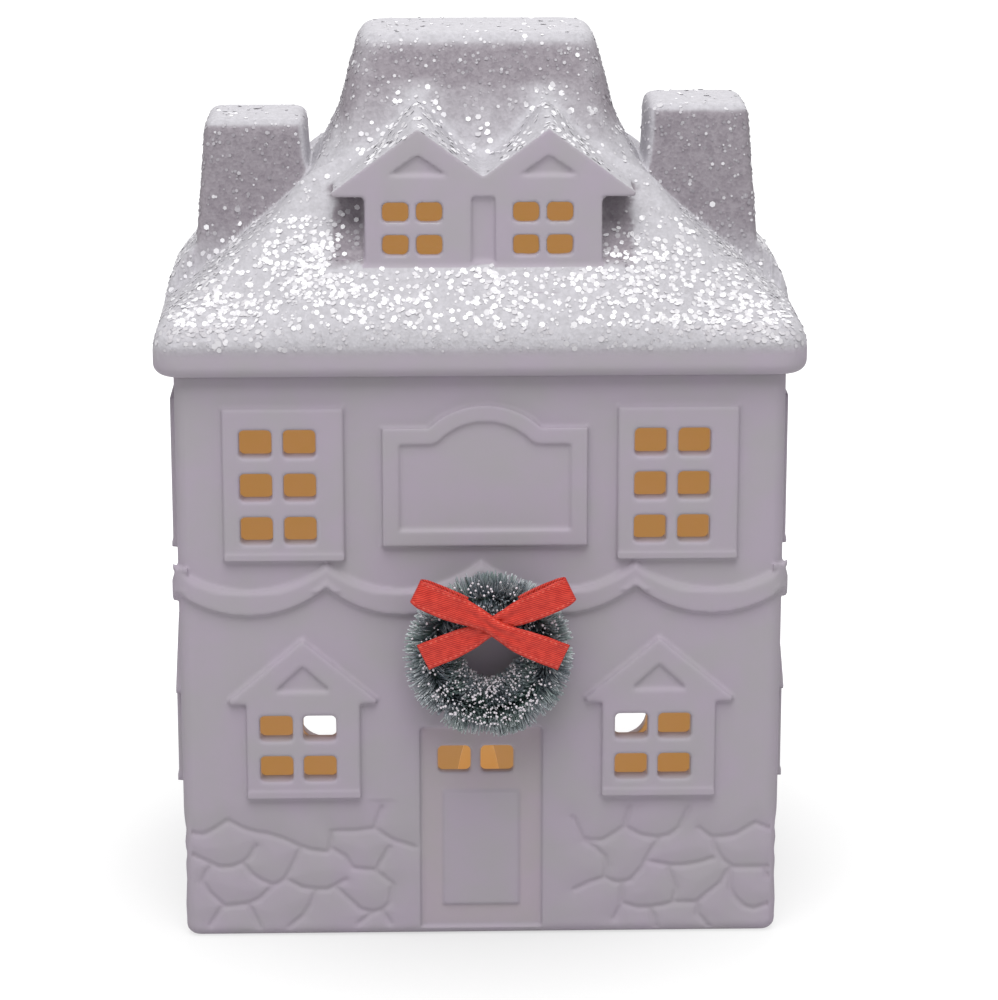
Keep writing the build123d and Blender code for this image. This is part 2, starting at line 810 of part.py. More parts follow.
carrier_inner = cell_radius + carrier_inner_gap
carrier_outer = carrier_inner + carrier_wall
with BuildPart() as cell_carrier:
    with BuildSketch(light_floor.offset(ear_foot)):
        Rectangle(2 * (boss_place + boss_radius), 2 * boss_radius)
        Circle(carrier_outer)
        Circle(carrier_inner, mode=Mode.SUBTRACT)
        Rectangle(2 * carrier_inner - seat_gap, 2 * boss_radius + overrun, mode=Mode.SUBTRACT)
    extrude(amount=ear_thickness)
    with BuildSketch(light_floor.offset(ear_foot)):
        Circle(carrier_outer)
        Circle(carrier_inner, mode=Mode.SUBTRACT)
    extrude(amount=carrier_height)
    with BuildSketch(light_floor.offset(web_foot)):
        Rectangle(2 * carrier_inner + carrier_wall, carrier_web_width)
    extrude(amount=carrier_web)
    with BuildSketch(light_floor.offset(carrier_top)):
        Circle(lamp_radius)
    extrude(amount=flange_foot - carrier_top)
    with BuildSketch(light_floor.offset(web_foot)):
        with Locations(*lead_places):
            Circle(lead_radius + seat_gap)
    extrude(amount=flange_foot - web_foot, mode=Mode.SUBTRACT)
    with BuildSketch(light_floor.offset(ear_foot)):
        with Locations(*screw_places):
            Circle(screw_radius + running_gap)
    extrude(amount=ear_thickness, mode=Mode.SUBTRACT)
save(cell_carrier, "cell_carrier")

# Contacts under the carrier's web, and the cell between them and the cover
with BuildPart() as centre_contact:
    with BuildSketch(light_floor.offset(web_foot)):
        with Locations((-(contact_reach + contact_split) / 2, 0)):
            Rectangle(contact_reach - contact_split, contact_width)
    extrude(amount=-contact_thickness)
    with BuildSketch(light_floor.offset(web_foot)):
        with Locations((-dimple_place, 0)):
            Circle(dimple_radius)
    extrude(amount=cell_top - web_foot)
save(centre_contact, "centre_contact")

with BuildPart() as side_contact:
    leg_face = cell_radius + seat_gap
    leg_back = leg_face + contact_thickness
    with BuildSketch(light_plane):
        face_from([
            (contact_split, web_foot),
            (contact_split, web_foot - contact_thickness),
            (leg_face, web_foot - contact_thickness),
            (leg_face, cell_foot + cell_height / 3),
            (leg_back, cell_foot + cell_height / 3),
            (leg_back, web_foot),
        ])
    extrude(amount=contact_width / 2, both=True)
save(side_contact, "side_contact")

with BuildPart() as coin_cell:
    turned([
        (0, cell_foot),
        (cell_radius, cell_foot),
        (cell_radius, cell_top - cell_cap_height),
        (cell_radius - cell_step, cell_top - cell_cap_height),
        (cell_radius - cell_step, cell_top),
        (0, cell_top),
    ])
save(coin_cell, "coin_cell")

# Base plate, with the bayonet opening for the cover and the slot for the switch
cover_inner = cell_radius + running_gap
cover_outer = cover_inner + cover_wall
lug_outer = cover_outer + lug_reach
lug_foot = base_top + running_gap / 2
opening = cover_outer + running_gap


def wedge(radius, middle_angle, spread):
    """A sector about the light's axis, in the sketch being built."""
    reach = radius / math.cos(math.radians(spread / 2))
    corners = [(0, 0)]
    for angle in (middle_angle - spread / 2, middle_angle + spread / 2):
        corners.append((reach * math.cos(math.radians(angle)), reach * math.sin(math.radians(angle))))
    face_from(corners)
    Circle(radius, mode=Mode.INTERSECT)


with BuildPart() as base_plate:
    with BuildSketch(light_floor.offset(base_recess)):
        Circle(cup_inner - running_gap / 2)
        Circle(opening, mode=Mode.SUBTRACT)
        with Locations((0, switch_place)):
            slot_length = switch_nub + switch_travel + running_gap
            Rectangle(slot_length, switch_depth + running_gap, mode=Mode.SUBTRACT)
    extrude(amount=base_thickness)
    for turn_angle in (lug_notch_turn, lug_notch_turn + 180):
        with BuildSketch(light_floor.offset(base_recess)):
            wedge(lug_outer + running_gap, turn_angle, lug_angle * (1 + running_gap / lug_reach))
        extrude(amount=base_thickness, mode=Mode.SUBTRACT)
    with BuildSketch(light_floor.offset(base_top)):
        with Locations(*screw_places):
            Circle(boss_radius)
    extrude(amount=base_pad)
    with BuildSketch(light_floor.offset(base_recess)):
        with Locations(*screw_places):
            Circle(screw_radius + running_gap)
    extrude(amount=base_thickness + base_pad, mode=Mode.SUBTRACT)
    with BuildSketch(light_floor.offset(base_recess)):
        with Locations(*screw_places):
            Circle(screw_head_radius + running_gap)
    extrude(amount=screw_head_height, mode=Mode.SUBTRACT)
save(base_plate, "base_plate")

with BuildPart() as battery_cover:
    with BuildSketch(light_floor.offset(cover_foot)):
        Circle(cover_outer)
    extrude(amount=lug_foot + lug_thickness - cover_foot)
    for turn_angle in (0, 180):
        with BuildSketch(light_floor.offset(lug_foot)):
            wedge(lug_outer, turn_angle, lug_angle)
        extrude(amount=lug_thickness)
    with BuildSketch(light_floor.offset(cover_foot + cover_floor)):
        Circle(cover_inner)
    extrude(amount=cell_height, mode=Mode.SUBTRACT)
    with BuildSketch(light_floor.offset(cover_foot)):
        Rectangle(coin_slot_length, coin_slot_width)
    extrude(amount=coin_slot_depth, mode=Mode.SUBTRACT)
save(battery_cover, "battery_cover")

with BuildPart() as switch_slider:
    rest = -switch_travel / 2
    with BuildSketch(light_floor.offset(switch_recess)):
        with Locations((rest, switch_place)):
            Rectangle(switch_nub, switch_depth)
    extrude(amount=lug_foot - switch_recess)
    with BuildSketch(light_floor.offset(lug_foot)):
        with Locations((rest, switch_place)):
            Rectangle(switch_flange_length, switch_flange_width)
    extrude(amount=switch_flange)
save(switch_slider, "switch_slider")

with BuildPart() as base_screws:
    with BuildSketch(light_floor.offset(base_recess + screw_head_height)):
        with Locations(*screw_places):
            Circle(screw_head_radius)
    extrude(amount=-screw_head_height)
    with BuildSketch(light_floor.offset(base_recess + screw_head_height)):
        with Locations(*screw_places):
            Circle(screw_radius)
    extrude(amount=screw_length)
save(base_screws, "base_screws")
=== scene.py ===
import math
import random

import bmesh
import bpy
import numpy
from mathutils import Matrix, Vector, noise
from mathutils.bvhtree import BVHTree


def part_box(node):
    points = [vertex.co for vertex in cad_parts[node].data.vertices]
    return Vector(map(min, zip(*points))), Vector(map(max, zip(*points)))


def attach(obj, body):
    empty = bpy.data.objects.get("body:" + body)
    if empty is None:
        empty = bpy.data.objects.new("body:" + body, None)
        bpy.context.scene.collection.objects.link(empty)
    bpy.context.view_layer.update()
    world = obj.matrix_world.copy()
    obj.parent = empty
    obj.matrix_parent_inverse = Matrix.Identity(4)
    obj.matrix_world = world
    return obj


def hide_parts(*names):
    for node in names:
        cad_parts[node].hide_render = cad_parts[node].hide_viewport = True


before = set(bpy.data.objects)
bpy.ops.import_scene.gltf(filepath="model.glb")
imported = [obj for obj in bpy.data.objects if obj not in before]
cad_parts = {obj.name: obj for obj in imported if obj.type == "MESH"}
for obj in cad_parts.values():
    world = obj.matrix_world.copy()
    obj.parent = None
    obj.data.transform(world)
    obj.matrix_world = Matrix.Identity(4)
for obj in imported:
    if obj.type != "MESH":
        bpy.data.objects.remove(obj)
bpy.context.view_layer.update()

# Walls: four walls and a floor, slip cast in one plaster mould, bisque fired and left unglazed.
# The relief comes from the mould and is wiped with a sponge, so no edge is sharp; the panes are
# cut by hand, and the cobbles at the foot are drawn into the soft clay with a blunt tool.
MM = 0.001
wall_half_x = 60 * MM
wall_half_y = 43 * MM
wall_shell = 3.5 * MM
wall_skin = 0.4 * MM
wall_wiping = 2
wall_triangles = 190000
wiping_strength = 0.5
snow_rounding = 90
face_skin = 0.35 * MM
joint_width = 0.45 * MM
joint_depth = 0.5 * MM
relief_limit = 1.5 * MM
stone_width = 2.6 * MM
stone_rise = 0.32 * MM
stone_top = 29 * MM
stone_foot = 4 * MM
side_shift = 17
swag_raise = 1.2 * MM
swag_low = 74.2 * MM
swag_band = 4.8 * MM
swag_drop = 5.8 * MM
swag_margin = MM
ledge_low = 0.2 * MM
ledge_slack = 0.3 * MM
front_swag = 30.6 * MM
front_swags = 4
side_swag = 29.47 * MM
side_swags = 3
bead_rise = 0.5 * MM
bead_width = 0.5 * MM
swag_bevel = 0.9 * MM
bevel_slope = 0.8
pane_lip = 0.6 * MM
floor_fade = (1.5 * MM, 3.5 * MM)
sill_slope = (0.25, 0.6)
clay_mauve = "#aba1ae"
clay_grey = "#a8a2a9"
mottle_size = 9 * MM
lamp_amber = "#ffbd62"
painted_glow_strength = 0.24
left_joints = [
    [(-59.5, 22.5), (-56, 22), (-54, 23), (-51, 25), (-48.5, 23.5), (-46, 22.5), (-43, 22),
     (-40, 21), (-37, 19.5), (-34.5, 18.5), (-31, 18)],
    [(-31, 18), (-30.5, 19), (-27.5, 17), (-26, 14.5), (-21.5, 14), (-18, 11)],
    [(-29.5, 22.5), (-25.5, 22.5), (-21.5, 23), (-20, 27.5)],
    [(-21.5, 23), (-18, 20.5), (-13.5, 19)],
    [(-59, 18), (-55, 16), (-53, 15), (-50.5, 15), (-48, 16), (-46.5, 17.5), (-45.5, 19.5)],
    [(-48, 15.5), (-46.5, 13.5), (-44.5, 12), (-42, 11), (-40, 12), (-39, 13.5), (-37.5, 16.5), (-36.5, 19)],
    [(-39, 12), (-36.5, 10.5), (-33.5, 10), (-31, 10), (-27.5, 12)],
    [(-55, 15), (-56.5, 12), (-55, 9.5), (-52, 6.5), (-47.5, 7), (-45, 8), (-42, 11)],
    [(-52.5, 6.5), (-55, 2.5)],
    [(-47, 6.5), (-45, 2)],
    [(-33.5, 10), (-34.5, 7), (-36, 4.5), (-39, 2)],
    [(-29.5, 10.5), (-27, 8), (-24.5, 5.5), (-22, 5), (-20, 5.5), (-18.5, 7), (-18, 10.5)],
    [(-18.5, 19), (-21, 14.5)],
    [(-30.5, 19), (-30, 22.5)],
    [(-22, 5), (-25, 2.5)],
    [(-20, 5), (-18.5, 2.5)],
]
right_joints = [
    [(18.5, 25), (20.5, 20.5), (22, 20), (24.5, 20), (27, 21.5), (29, 23), (30, 27.5)],
    [(29, 23), (30.5, 22), (32.5, 21), (35.5, 20.5), (38, 21), (40, 22.5), (42, 27)],
    [(44, 22.5), (46.5, 20.5), (48.5, 20.5), (51.5, 21), (55.5, 23.5), (60, 21.5)],
    [(20.5, 20), (23, 18.5), (25, 16.5), (25.5, 14.5), (25, 12), (22, 11), (19, 9.5)],
    [(25, 12), (27, 11), (29, 11), (30.5, 11.5), (32.5, 14), (33.5, 16), (36, 20.5)],
    [(33.5, 15.5), (36, 15), (38.5, 14.5), (41, 14.5), (44, 15), (47, 16)],
    [(47, 20), (47.5, 18), (49, 15.5), (51, 14), (53.5, 14), (59, 14)],
    [(28.5, 10.5), (28.5, 6.5), (31.5, 5.5), (34.5, 5.5), (37.5, 6), (39, 6.5), (39.5, 9.5), (38, 14)],
    [(39.5, 6.5), (42, 6.5), (44, 6.5), (46, 8.5), (48.5, 10.5), (50.5, 14)],
    [(50.5, 13.5), (50.5, 9.5), (51.5, 7.5), (53.5, 5.5), (55.5, 5), (60, 6.5)],
    [(57.5, 13.5), (58, 12), (60, 10.5)],
    [(34.5, 5), (35.5, 1.5)],
    [(44, 6), (44, 4), (46.5, 1)],
    [(28.5, 6), (27, 3)],
]


def linear(colour):
    """An sRGB hex colour as linear red, green, blue and alpha."""
    parts = [int(colour[place:place + 2], 16) / 255 for place in (1, 3, 5)]
    return [part / 12.92 if part <= 0.04045 else ((part + 0.055) / 1.055) ** 2.4 for part in parts] + [1]


def add_node(tree, kind, settings=None, values=None, links=None):
    """Add a node: settings are its own, values and links go to its input sockets."""
    node = tree.nodes.new(kind)
    for name, setting in (settings or {}).items():
        setattr(node, name, setting)
    for name, value in (values or {}).items():
        node.inputs[name].default_value = value
    for name, source in (links or {}).items():
        tree.links.new(source, node.inputs[name])
    return node


def new_finish(name):
    """A material, its node tree and its surface shader."""
    material = bpy.data.materials.new(name)
    material.use_nodes = True
    return material, material.node_tree, material.node_tree.nodes["Principled BSDF"]


def new_piece(name, shape, material):
    """Put a finished bmesh into the scene as a smooth-shaded piece."""
    mesh = bpy.data.meshes.new(name)
    shape.to_mesh(mesh)
    shape.free()
    mesh.materials.append(material)
    mesh.shade_smooth()
    piece = bpy.data.objects.new(name, mesh)
    bpy.context.scene.collection.objects.link(piece)
    return piece


def settle(piece):
    """Apply a piece's modifiers to its mesh."""
    first = piece.data
    bpy.context.view_layer.update()
    settled = piece.evaluated_get(bpy.context.evaluated_depsgraph_get())
    piece.data = bpy.data.meshes.new_from_object(settled)
    piece.modifiers.clear()
    bpy.data.meshes.remove(first)


def points_of(mesh):
    """A mesh's points as an array."""
    flat = numpy.empty(len(mesh.vertices) * 3)
    mesh.vertices.foreach_get("co", flat)
    return flat.reshape(-1, 3)


def soften(node, name, material, skin, wiping, triangles, carve):
    """A casting's CAD solid as soft clay: one even skin, carved, wiped and thinned.

    It is rounded on the rows that the carving gives back, each by its share.
    """
    clay = bmesh.new()
    clay.from_mesh(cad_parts[node].data)
    bmesh.ops.remove_doubles(clay, verts=clay.verts, dist=MM / 1000)
    piece = new_piece(name, clay, material)
    remesh = piece.modifiers.new("skin", "REMESH")
    remesh.mode = "VOXEL"
    remesh.voxel_size = skin
    settle(piece)
    points = points_of(piece.data)
    capped = carve(points)
    piece.data.vertices.foreach_set("co", points.ravel())
    if capped:
        group = piece.vertex_groups.new(name="capped")
        for share, rows in capped:
            group.add(rows.tolist(), share, "REPLACE")
        rounded = piece.modifiers.new("rounded", "SMOOTH")
        rounded.factor = wiping_strength
        rounded.iterations = snow_rounding
        rounded.vertex_group = "capped"
    wiped = piece.modifiers.new("wiped", "SMOOTH")
    wiped.factor = wiping_strength
    wiped.iterations = wiping
    thinned = piece.modifiers.new("thinned", "DECIMATE")
    thinned.ratio = min(1, triangles / (2 * len(piece.data.polygons)))
    settle(piece)
    piece.data.shade_smooth()
    return piece


def ease(low, high, values):
    """A smooth step from 0 at low to 1 at high."""
    share = numpy.clip((values - low) / (high - low), 0, 1)
    return share * share * (3 - 2 * share)


def draw_joints(points, along, out, face, sign, joints, place):
    """Press the joints of the cobbles into the points of one wall's face."""
    near = numpy.abs(points[:, out] - face) < face_skin
    near &= points[:, 2] < stone_top
    rows = numpy.nonzero(near)[0]
    spots = points[rows][:, [along, 2]]
    gap = numpy.full(len(rows), 1.0)
    for line in joints:
        corners = [Vector((place(across), height)) * MM for across, height in line]
        for start, end in zip(corners, corners[1:]):
            run = end - start
            share = ((spots[:, 0] - start.x) * run.x + (spots[:, 1] - start.y) * run.y) / run.length_squared
            share = numpy.clip(share, 0, 1)
            offset_x = spots[:, 0] - start.x - share * run.x
            offset_z = spots[:, 1] - start.y - share * run.y
            gap = numpy.minimum(gap, numpy.hypot(offset_x, offset_z))
    groove = joint_depth * numpy.exp(-(gap / joint_width) ** 2)
    pillow = stone_rise * numpy.exp(-(gap / stone_width) ** 2)
    points[rows, out] -= sign * (groove + pillow * ease(0, stone_foot, spots[:, 1]))


def mould_swags(points, along, out, face, sign, pitch, count):
    """Bevel the upper edge of one wall's swags and raise a bead along their lower edge."""
    height = sign * (points[:, out] - face)
    near = (height > ledge_low) & (height < swag_raise + ledge_slack)
    near &= (points[:, 2] > swag_low - swag_margin) & (points[:, 2] < swag_low + swag_band + swag_margin)
    rows = numpy.nonzero(near)[0]
    across = (points[rows, along] + count * pitch / 2) % pitch - pitch / 2
    radius = ((pitch / 2) ** 2 + swag_drop ** 2) / (2 * swag_drop)
    lower_middle = swag_low + radius - swag_drop
    above_foot = radius - numpy.hypot(across, lower_middle - points[rows, 2])
    below_head = numpy.hypot(across, lower_middle + swag_band - points[rows, 2]) - radius
    bead = bead_rise * numpy.exp(-((above_foot - bead_width) / bead_width) ** 2)
    bevel = bevel_slope * swag_bevel * (1 - numpy.clip(numpy.abs(below_head) / swag_bevel, 0, 1))
    height = numpy.minimum(height[rows], swag_raise - bevel) + bead * ease(0, swag_raise, height[rows])
    points[rows, out] = face + sign * height


def carve_walls(points):
    """Worn sills, then cobbles and swags, on the front and round both sides of the house."""
    points[:, 1] = numpy.maximum(points[:, 1], -wall_half_y - relief_limit)
    points[:, 0] = numpy.clip(points[:, 0], -wall_half_x - relief_limit, wall_half_x + relief_limit)
    joints = left_joints + right_joints
    draw_joints(points, 0, 1, -wall_half_y, -1, joints, lambda across: across)
    mould_swags(points, 0, 1, -wall_half_y, -1, front_swag, front_swags)
    for side in (-1, 1):
        mould_swags(points, 1, 0, side * wall_half_x, side, side_swag, side_swags)
        draw_joints(points, 1, 0, side * wall_half_x, side, left_joints, lambda across: across + side_shift)
        draw_joints(points, 1, 0, side * wall_half_x, side, right_joints, lambda across: across - side_shift)
    return []


# Unglazed bisque: matt and a little chalky, slightly mottled, with a grain that only shows at an edge of
# light. The glow is painted lamp light: an amber emission on the inner faces, which fades through the
# thickness of a pane and leaves its sill to the daylight.
bisque, tree, surface = new_finish("bisque_stoneware")
surface.inputs["Roughness"].default_value = 0.82
surface.inputs["Specular IOR Level"].default_value = 0.28
place = add_node(tree, "ShaderNodeTexCoord").outputs["Object"]
mottle = add_node(tree, "ShaderNodeTexNoise", None, {"Scale": 1 / mottle_size, "Detail": 3.0}, {"Vector": place})
patch = add_node(tree, "ShaderNodeMapRange", None, {"From Min": 0.35, "From Max": 0.65},
                 {"Value": mottle.outputs["Fac"]})
tone = add_node(tree, "ShaderNodeMix", {"data_type": "RGBA"}, {6: linear(clay_mauve), 7: linear(clay_grey)},
                {0: patch.outputs[0]})
tree.links.new(tone.outputs[2], surface.inputs["Base Color"])
painted_lamp_glow = add_node(tree, "ShaderNodeAttribute", {"attribute_name": "painted_lamp_glow"}).outputs["Fac"]
lit = add_node(tree, "ShaderNodeMath", {"operation": "MULTIPLY"}, {1: painted_glow_strength}, {0: painted_lamp_glow})
surface.inputs["Emission Color"].default_value = linear(lamp_amber)
tree.links.new(lit.outputs[0], surface.inputs["Emission Strength"])
grain = add_node(tree, "ShaderNodeTexNoise", None, {"Scale": 1 / (0.7 * MM), "Detail": 3.0}, {"Vector": place})
relief = add_node(tree, "ShaderNodeBump", None, {"Strength": 0.12, "Distance": 0.1 * MM},
                  {"Height": grain.outputs["Fac"]})
tree.links.new(relief.outputs["Normal"], surface.inputs["Normal"])

walls = soften("wall_casting", "walls", bisque, wall_skin, wall_wiping, wall_triangles, carve_walls)
wall_points = points_of(walls.data)
sunk = numpy.minimum(wall_half_x - numpy.abs(wall_points[:, 0]), wall_half_y - numpy.abs(wall_points[:, 1]))
wall_normals = numpy.empty(len(wall_points) * 3)
walls.data.vertices.foreach_get("normal", wall_normals)
sills = ease(*sill_slope, wall_normals[2::3]) * (sunk < wall_shell)
# Painted lamp light: an amber glow on the inner faces, fading through each pane's thickness and kept off the sills.
painted_wall_glow = ease(pane_lip, wall_shell, sunk) * ease(*floor_fade, wall_points[:, 2]) * (1 - sills)
walls.data.attributes.new("painted_lamp_glow", "FLOAT", "POINT").data.foreach_set("value", painted_wall_glow)
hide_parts("wall_casting")
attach(walls, "house")

# Roof: a second hollow casting with the chimneys and dormers on it, luted to the wall tops.
# It is brushed with glue and strewn with glitter for snow: thick where it lies flat, thin on the steep
# faces. Eave lip and dormer fronts stay bare clay.
roof_skin = 0.45 * MM
roof_wiping = 3
roof_triangles = 150000
snow_edge = 123 * MM
lump_size = 1.7 * MM
lump_rise = 0.16 * MM
lump_seed = 5
dormer_face = -35.8 * MM
dormer_reach = 31 * MM
dormer_side = 23.4 * MM
dormer_foot = 133 * MM
dormer_peak = 165 * MM
dormer_places = (-12.05 * MM, 13.45 * MM)
dormer_valley = 0.7 * MM
stack_inner = 34.1 * MM
stack_half = 11.5 * MM
stack_foot = 148 * MM
crown_foot = 172 * MM
ridge_foot = 146 * MM
ridge_back = -14 * MM
ridge_rounding = 0.4
hip_drop = 5.5 * MM
hip_start = 30 * MM
hip_neck = 9 * MM
hip_neck_heights = (153 * MM, 160 * MM)
hip_width = 7 * MM
hip_fan = 13 * MM
hip_fan_depths = (14 * MM, 30 * MM)
hip_foot = (122 * MM, 137 * MM)
hip_head = (167 * MM, 178 * MM)
roof_half_x = 63.8 * MM
roof_top = 179.7 * MM
heap_rise = 3 * MM
heap_width = 5.5 * MM
heap_front = (-35.5 * MM, -24 * MM)
heap_back = (-20 * MM, -12 * MM)
heap_foot = (150 * MM, 158 * MM)
heap_head = (165 * MM, 174 * MM)
fill_rise = 1.2 * MM
fill_width = 3 * MM
room_half_x = 57 * MM
room_half_y = 40 * MM
dormer_room = -35 * MM
apron_fade = (130 * MM, 142 * MM)
sight_lift = 0.4 * MM
sill_lean = 0.35
front_lean = -0.75
strewn_edges = (snow_edge - 2 * MM, snow_edge + MM)
bank_inner = stack_inner - 2 * MM
cheek_lean = (0.3, 0.6)
snow_lean = (0.25, 0.6)
room_views = [Vector((0, 0, 121)) * MM, Vector((-12, -24, 146)) * MM, Vector((13.4, -24, 146)) * MM]


def carve_roof(points):
    """Snow heaped on the dormers' ridges and in their valley, small lumps in the glue, and hips that sag.

    Dormer ridges, chimneys and the flat top come back as the rows to round.
    """
    heaped = ease(*heap_front, points[:, 1]) * (1 - ease(*heap_back, points[:, 1]))
    heaped *= ease(*heap_foot, points[:, 2]) * (1 - ease(*heap_head, points[:, 2]))
    for place in dormer_places:
        points[:, 2] += heap_rise * heaped * numpy.exp(-((points[:, 0] - place) / heap_width) ** 2)
    points[:, 2] += fill_rise * heaped * numpy.exp(-((points[:, 0] - dormer_valley) / fill_width) ** 2)
    bare = (points[:, 1] < dormer_face) & (numpy.abs(points[:, 0]) < dormer_reach) & (points[:, 2] > dormer_foot)
    for row in numpy.nonzero((points[:, 2] > snow_edge) & ~bare)[0]:
        points[row] += noise.noise_vector(Vector(points[row]) / lump_size) * lump_rise
    across = numpy.abs(points[:, 0])
    stack = (across > stack_inner) & (numpy.abs(points[:, 1]) < stack_half)
    start = hip_start - hip_neck * ease(*hip_neck_heights, points[:, 2])
    width = hip_width + hip_fan * ease(*hip_fan_depths, numpy.abs(points[:, 1]))
    sag = ease(start, start + width, across) * ease(*hip_foot, points[:, 2])
    sag *= 1 - ease(*hip_head, points[:, 2])
    points[:, 2] -= hip_drop * sag * ~stack
    points[:, 0] = numpy.clip(points[:, 0], -roof_half_x, roof_half_x)
    points[:, 2] = numpy.minimum(points[:, 2], roof_top)
    ridged = (across < dormer_reach) & (points[:, 1] < ridge_back) & (points[:, 2] > ridge_foot) & ~bare
    topped = (stack & (points[:, 2] > stack_foot)) | (points[:, 2] > crown_foot)
    return [(ridge_rounding, numpy.nonzero(ridged)[0]), (1, numpy.nonzero(topped)[0])]


# Bisque under glue and glitter: a rough mauve-grey grit on steep faces, whiter and smoother where the coat
# lies thick. Bare clay shows at the lip and on the dormer fronts, and the inside glows with painted lamp light.
snow, tree, surface = new_finish("glittered_bisque")
surface.inputs["Roughness"].default_value = 0.7
place = add_node(tree, "ShaderNodeTexCoord").outputs["Object"]
mottle = add_node(tree, "ShaderNodeTexNoise", None, {"Scale": 1 / mottle_size, "Detail": 3.0}, {"Vector": place})
patch = add_node(tree, "ShaderNodeMapRange", None, {"From Min": 0.35, "From Max": 0.65},
                 {"Value": mottle.outputs["Fac"]})
clay = add_node(tree, "ShaderNodeMix", {"data_type": "RGBA"}, {6: linear(clay_mauve), 7: linear(clay_grey)},
                {0: patch.outputs[0]})
grit = add_node(tree, "ShaderNodeTexVoronoi", None, {"Scale": 1 / (0.6 * MM)}, {"Vector": place})
clump = add_node(tree, "ShaderNodeTexNoise", None, {"Scale": 1 / (1.5 * MM), "Detail": 3.0}, {"Vector": place})
blotch = add_node(tree, "ShaderNodeMapRange", None, {"From Min": 0.35, "From Max": 0.65},
                  {"Value": clump.outputs["Fac"]})
speck = add_node(tree, "ShaderNodeMix", {"data_type": "RGBA"}, {0: 0.4},
                 {6: grit.outputs["Color"], 7: blotch.outputs[0]})
steep = add_node(tree, "ShaderNodeMix", {"data_type": "RGBA"}, {6: linear("#857d85"), 7: linear("#a49da4")},
                 {0: speck.outputs[2]})
flat = add_node(tree, "ShaderNodeMix", {"data_type": "RGBA"}, {6: linear("#b4b2b7"), 7: linear("#cbc9cf")},
                {0: speck.outputs[2]})
lie = add_node(tree, "ShaderNodeAttribute", {"attribute_name": "lie"}).outputs["Fac"]
strewn = add_node(tree, "ShaderNodeAttribute", {"attribute_name": "strewn"}).outputs["Fac"]
painted_lamp_glow = add_node(tree, "ShaderNodeAttribute", {"attribute_name": "painted_lamp_glow"}).outputs["Fac"]
coat = add_node(tree, "ShaderNodeMix", {"data_type": "RGBA"}, None,
                {0: lie, 6: steep.outputs[2], 7: flat.outputs[2]})
tone = add_node(tree, "ShaderNodeMix", {"data_type": "RGBA"}, None,
                {0: strewn, 6: clay.outputs[2], 7: coat.outputs[2]})
tree.links.new(tone.outputs[2], surface.inputs["Base Color"])
lit = add_node(tree, "ShaderNodeMath", {"operation": "MULTIPLY"}, {1: painted_glow_strength}, {0: painted_lamp_glow})
surface.inputs["Emission Color"].default_value = linear(lamp_amber)
tree.links.new(lit.outputs[0], surface.inputs["Emission Strength"])
depth = add_node(tree, "ShaderNodeMath", {"operation": "MULTIPLY"}, None,
                 {0: grit.outputs["Distance"], 1: strewn})
relief = add_node(tree, "ShaderNodeBump", None, {"Strength": 0.5, "Distance": 0.15 * MM},
                  {"Height": depth.outputs[0]})
tree.links.new(relief.outputs["Normal"], surface.inputs["Normal"])

noise.seed_set(lump_seed)
roof = soften("roof_casting", "roof", snow, roof_skin, roof_wiping, roof_triangles, carve_roof)
sky = BVHTree.FromObject(roof, bpy.context.evaluated_depsgraph_get())
strewn_share = []
lie_share = []
painted_glow_share = []
# Faces seen from inside the house get painted lamp light, an amber emission, and stay bare of glitter.
for vertex in roof.data.vertices:
    spot = vertex.co + vertex.normal * sight_lift
    inside = False
    in_dormer = abs(vertex.co.x - dormer_valley) < dormer_side
    room_front = dormer_room if vertex.co.z > dormer_foot else -room_half_y
    if abs(vertex.co.x) < room_half_x and room_front < vertex.co.y < room_half_y:
        for view in room_views:
            sight = view - spot
            inside = inside or sky.ray_cast(spot, sight.normalized(), sight.length)[0] is None
    sill = vertex.normal.z > sill_lean and vertex.co.y < dormer_face + wall_shell and in_dormer
    inside = inside and not sill
    fronting = vertex.co.y < dormer_face and dormer_foot < vertex.co.z < dormer_peak
    bare = inside or (fronting and vertex.normal.y < front_lean and abs(vertex.co.x) < dormer_reach)
    covered = sky.ray_cast(spot, Vector((0, 0, 1)))[0] is not None
    bare = bare or (covered and (vertex.co.z < dormer_foot or in_dormer))
    strewn_share.append(0 if bare else float(ease(*strewn_edges, numpy.float64(vertex.co.z))))
    apron = 1 - ease(*apron_fade, numpy.float64(vertex.co.z))
    beside_stack = vertex.co.z > ridge_foot and abs(vertex.co.x) > bank_inner
    banked = beside_stack and vertex.normal.x * vertex.co.x < 0
    cheek = ease(*cheek_lean, numpy.float64(abs(vertex.normal.x))) if banked else 0
    level = ease(*snow_lean, numpy.float64(vertex.normal.z))
    lie_share.append(0 if covered else float(max(apron, cheek, level)))
    painted_glow_share.append(1 if inside else 0)
roof.data.attributes.new("strewn", "FLOAT", "POINT").data.foreach_set("value", strewn_share)
roof.data.attributes.new("lie", "FLOAT", "POINT").data.foreach_set("value", lie_share)
roof.data.attributes.new("painted_lamp_glow", "FLOAT", "POINT").data.foreach_set("value", painted_glow_share)
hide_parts("roof_casting")
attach(roof, "house")

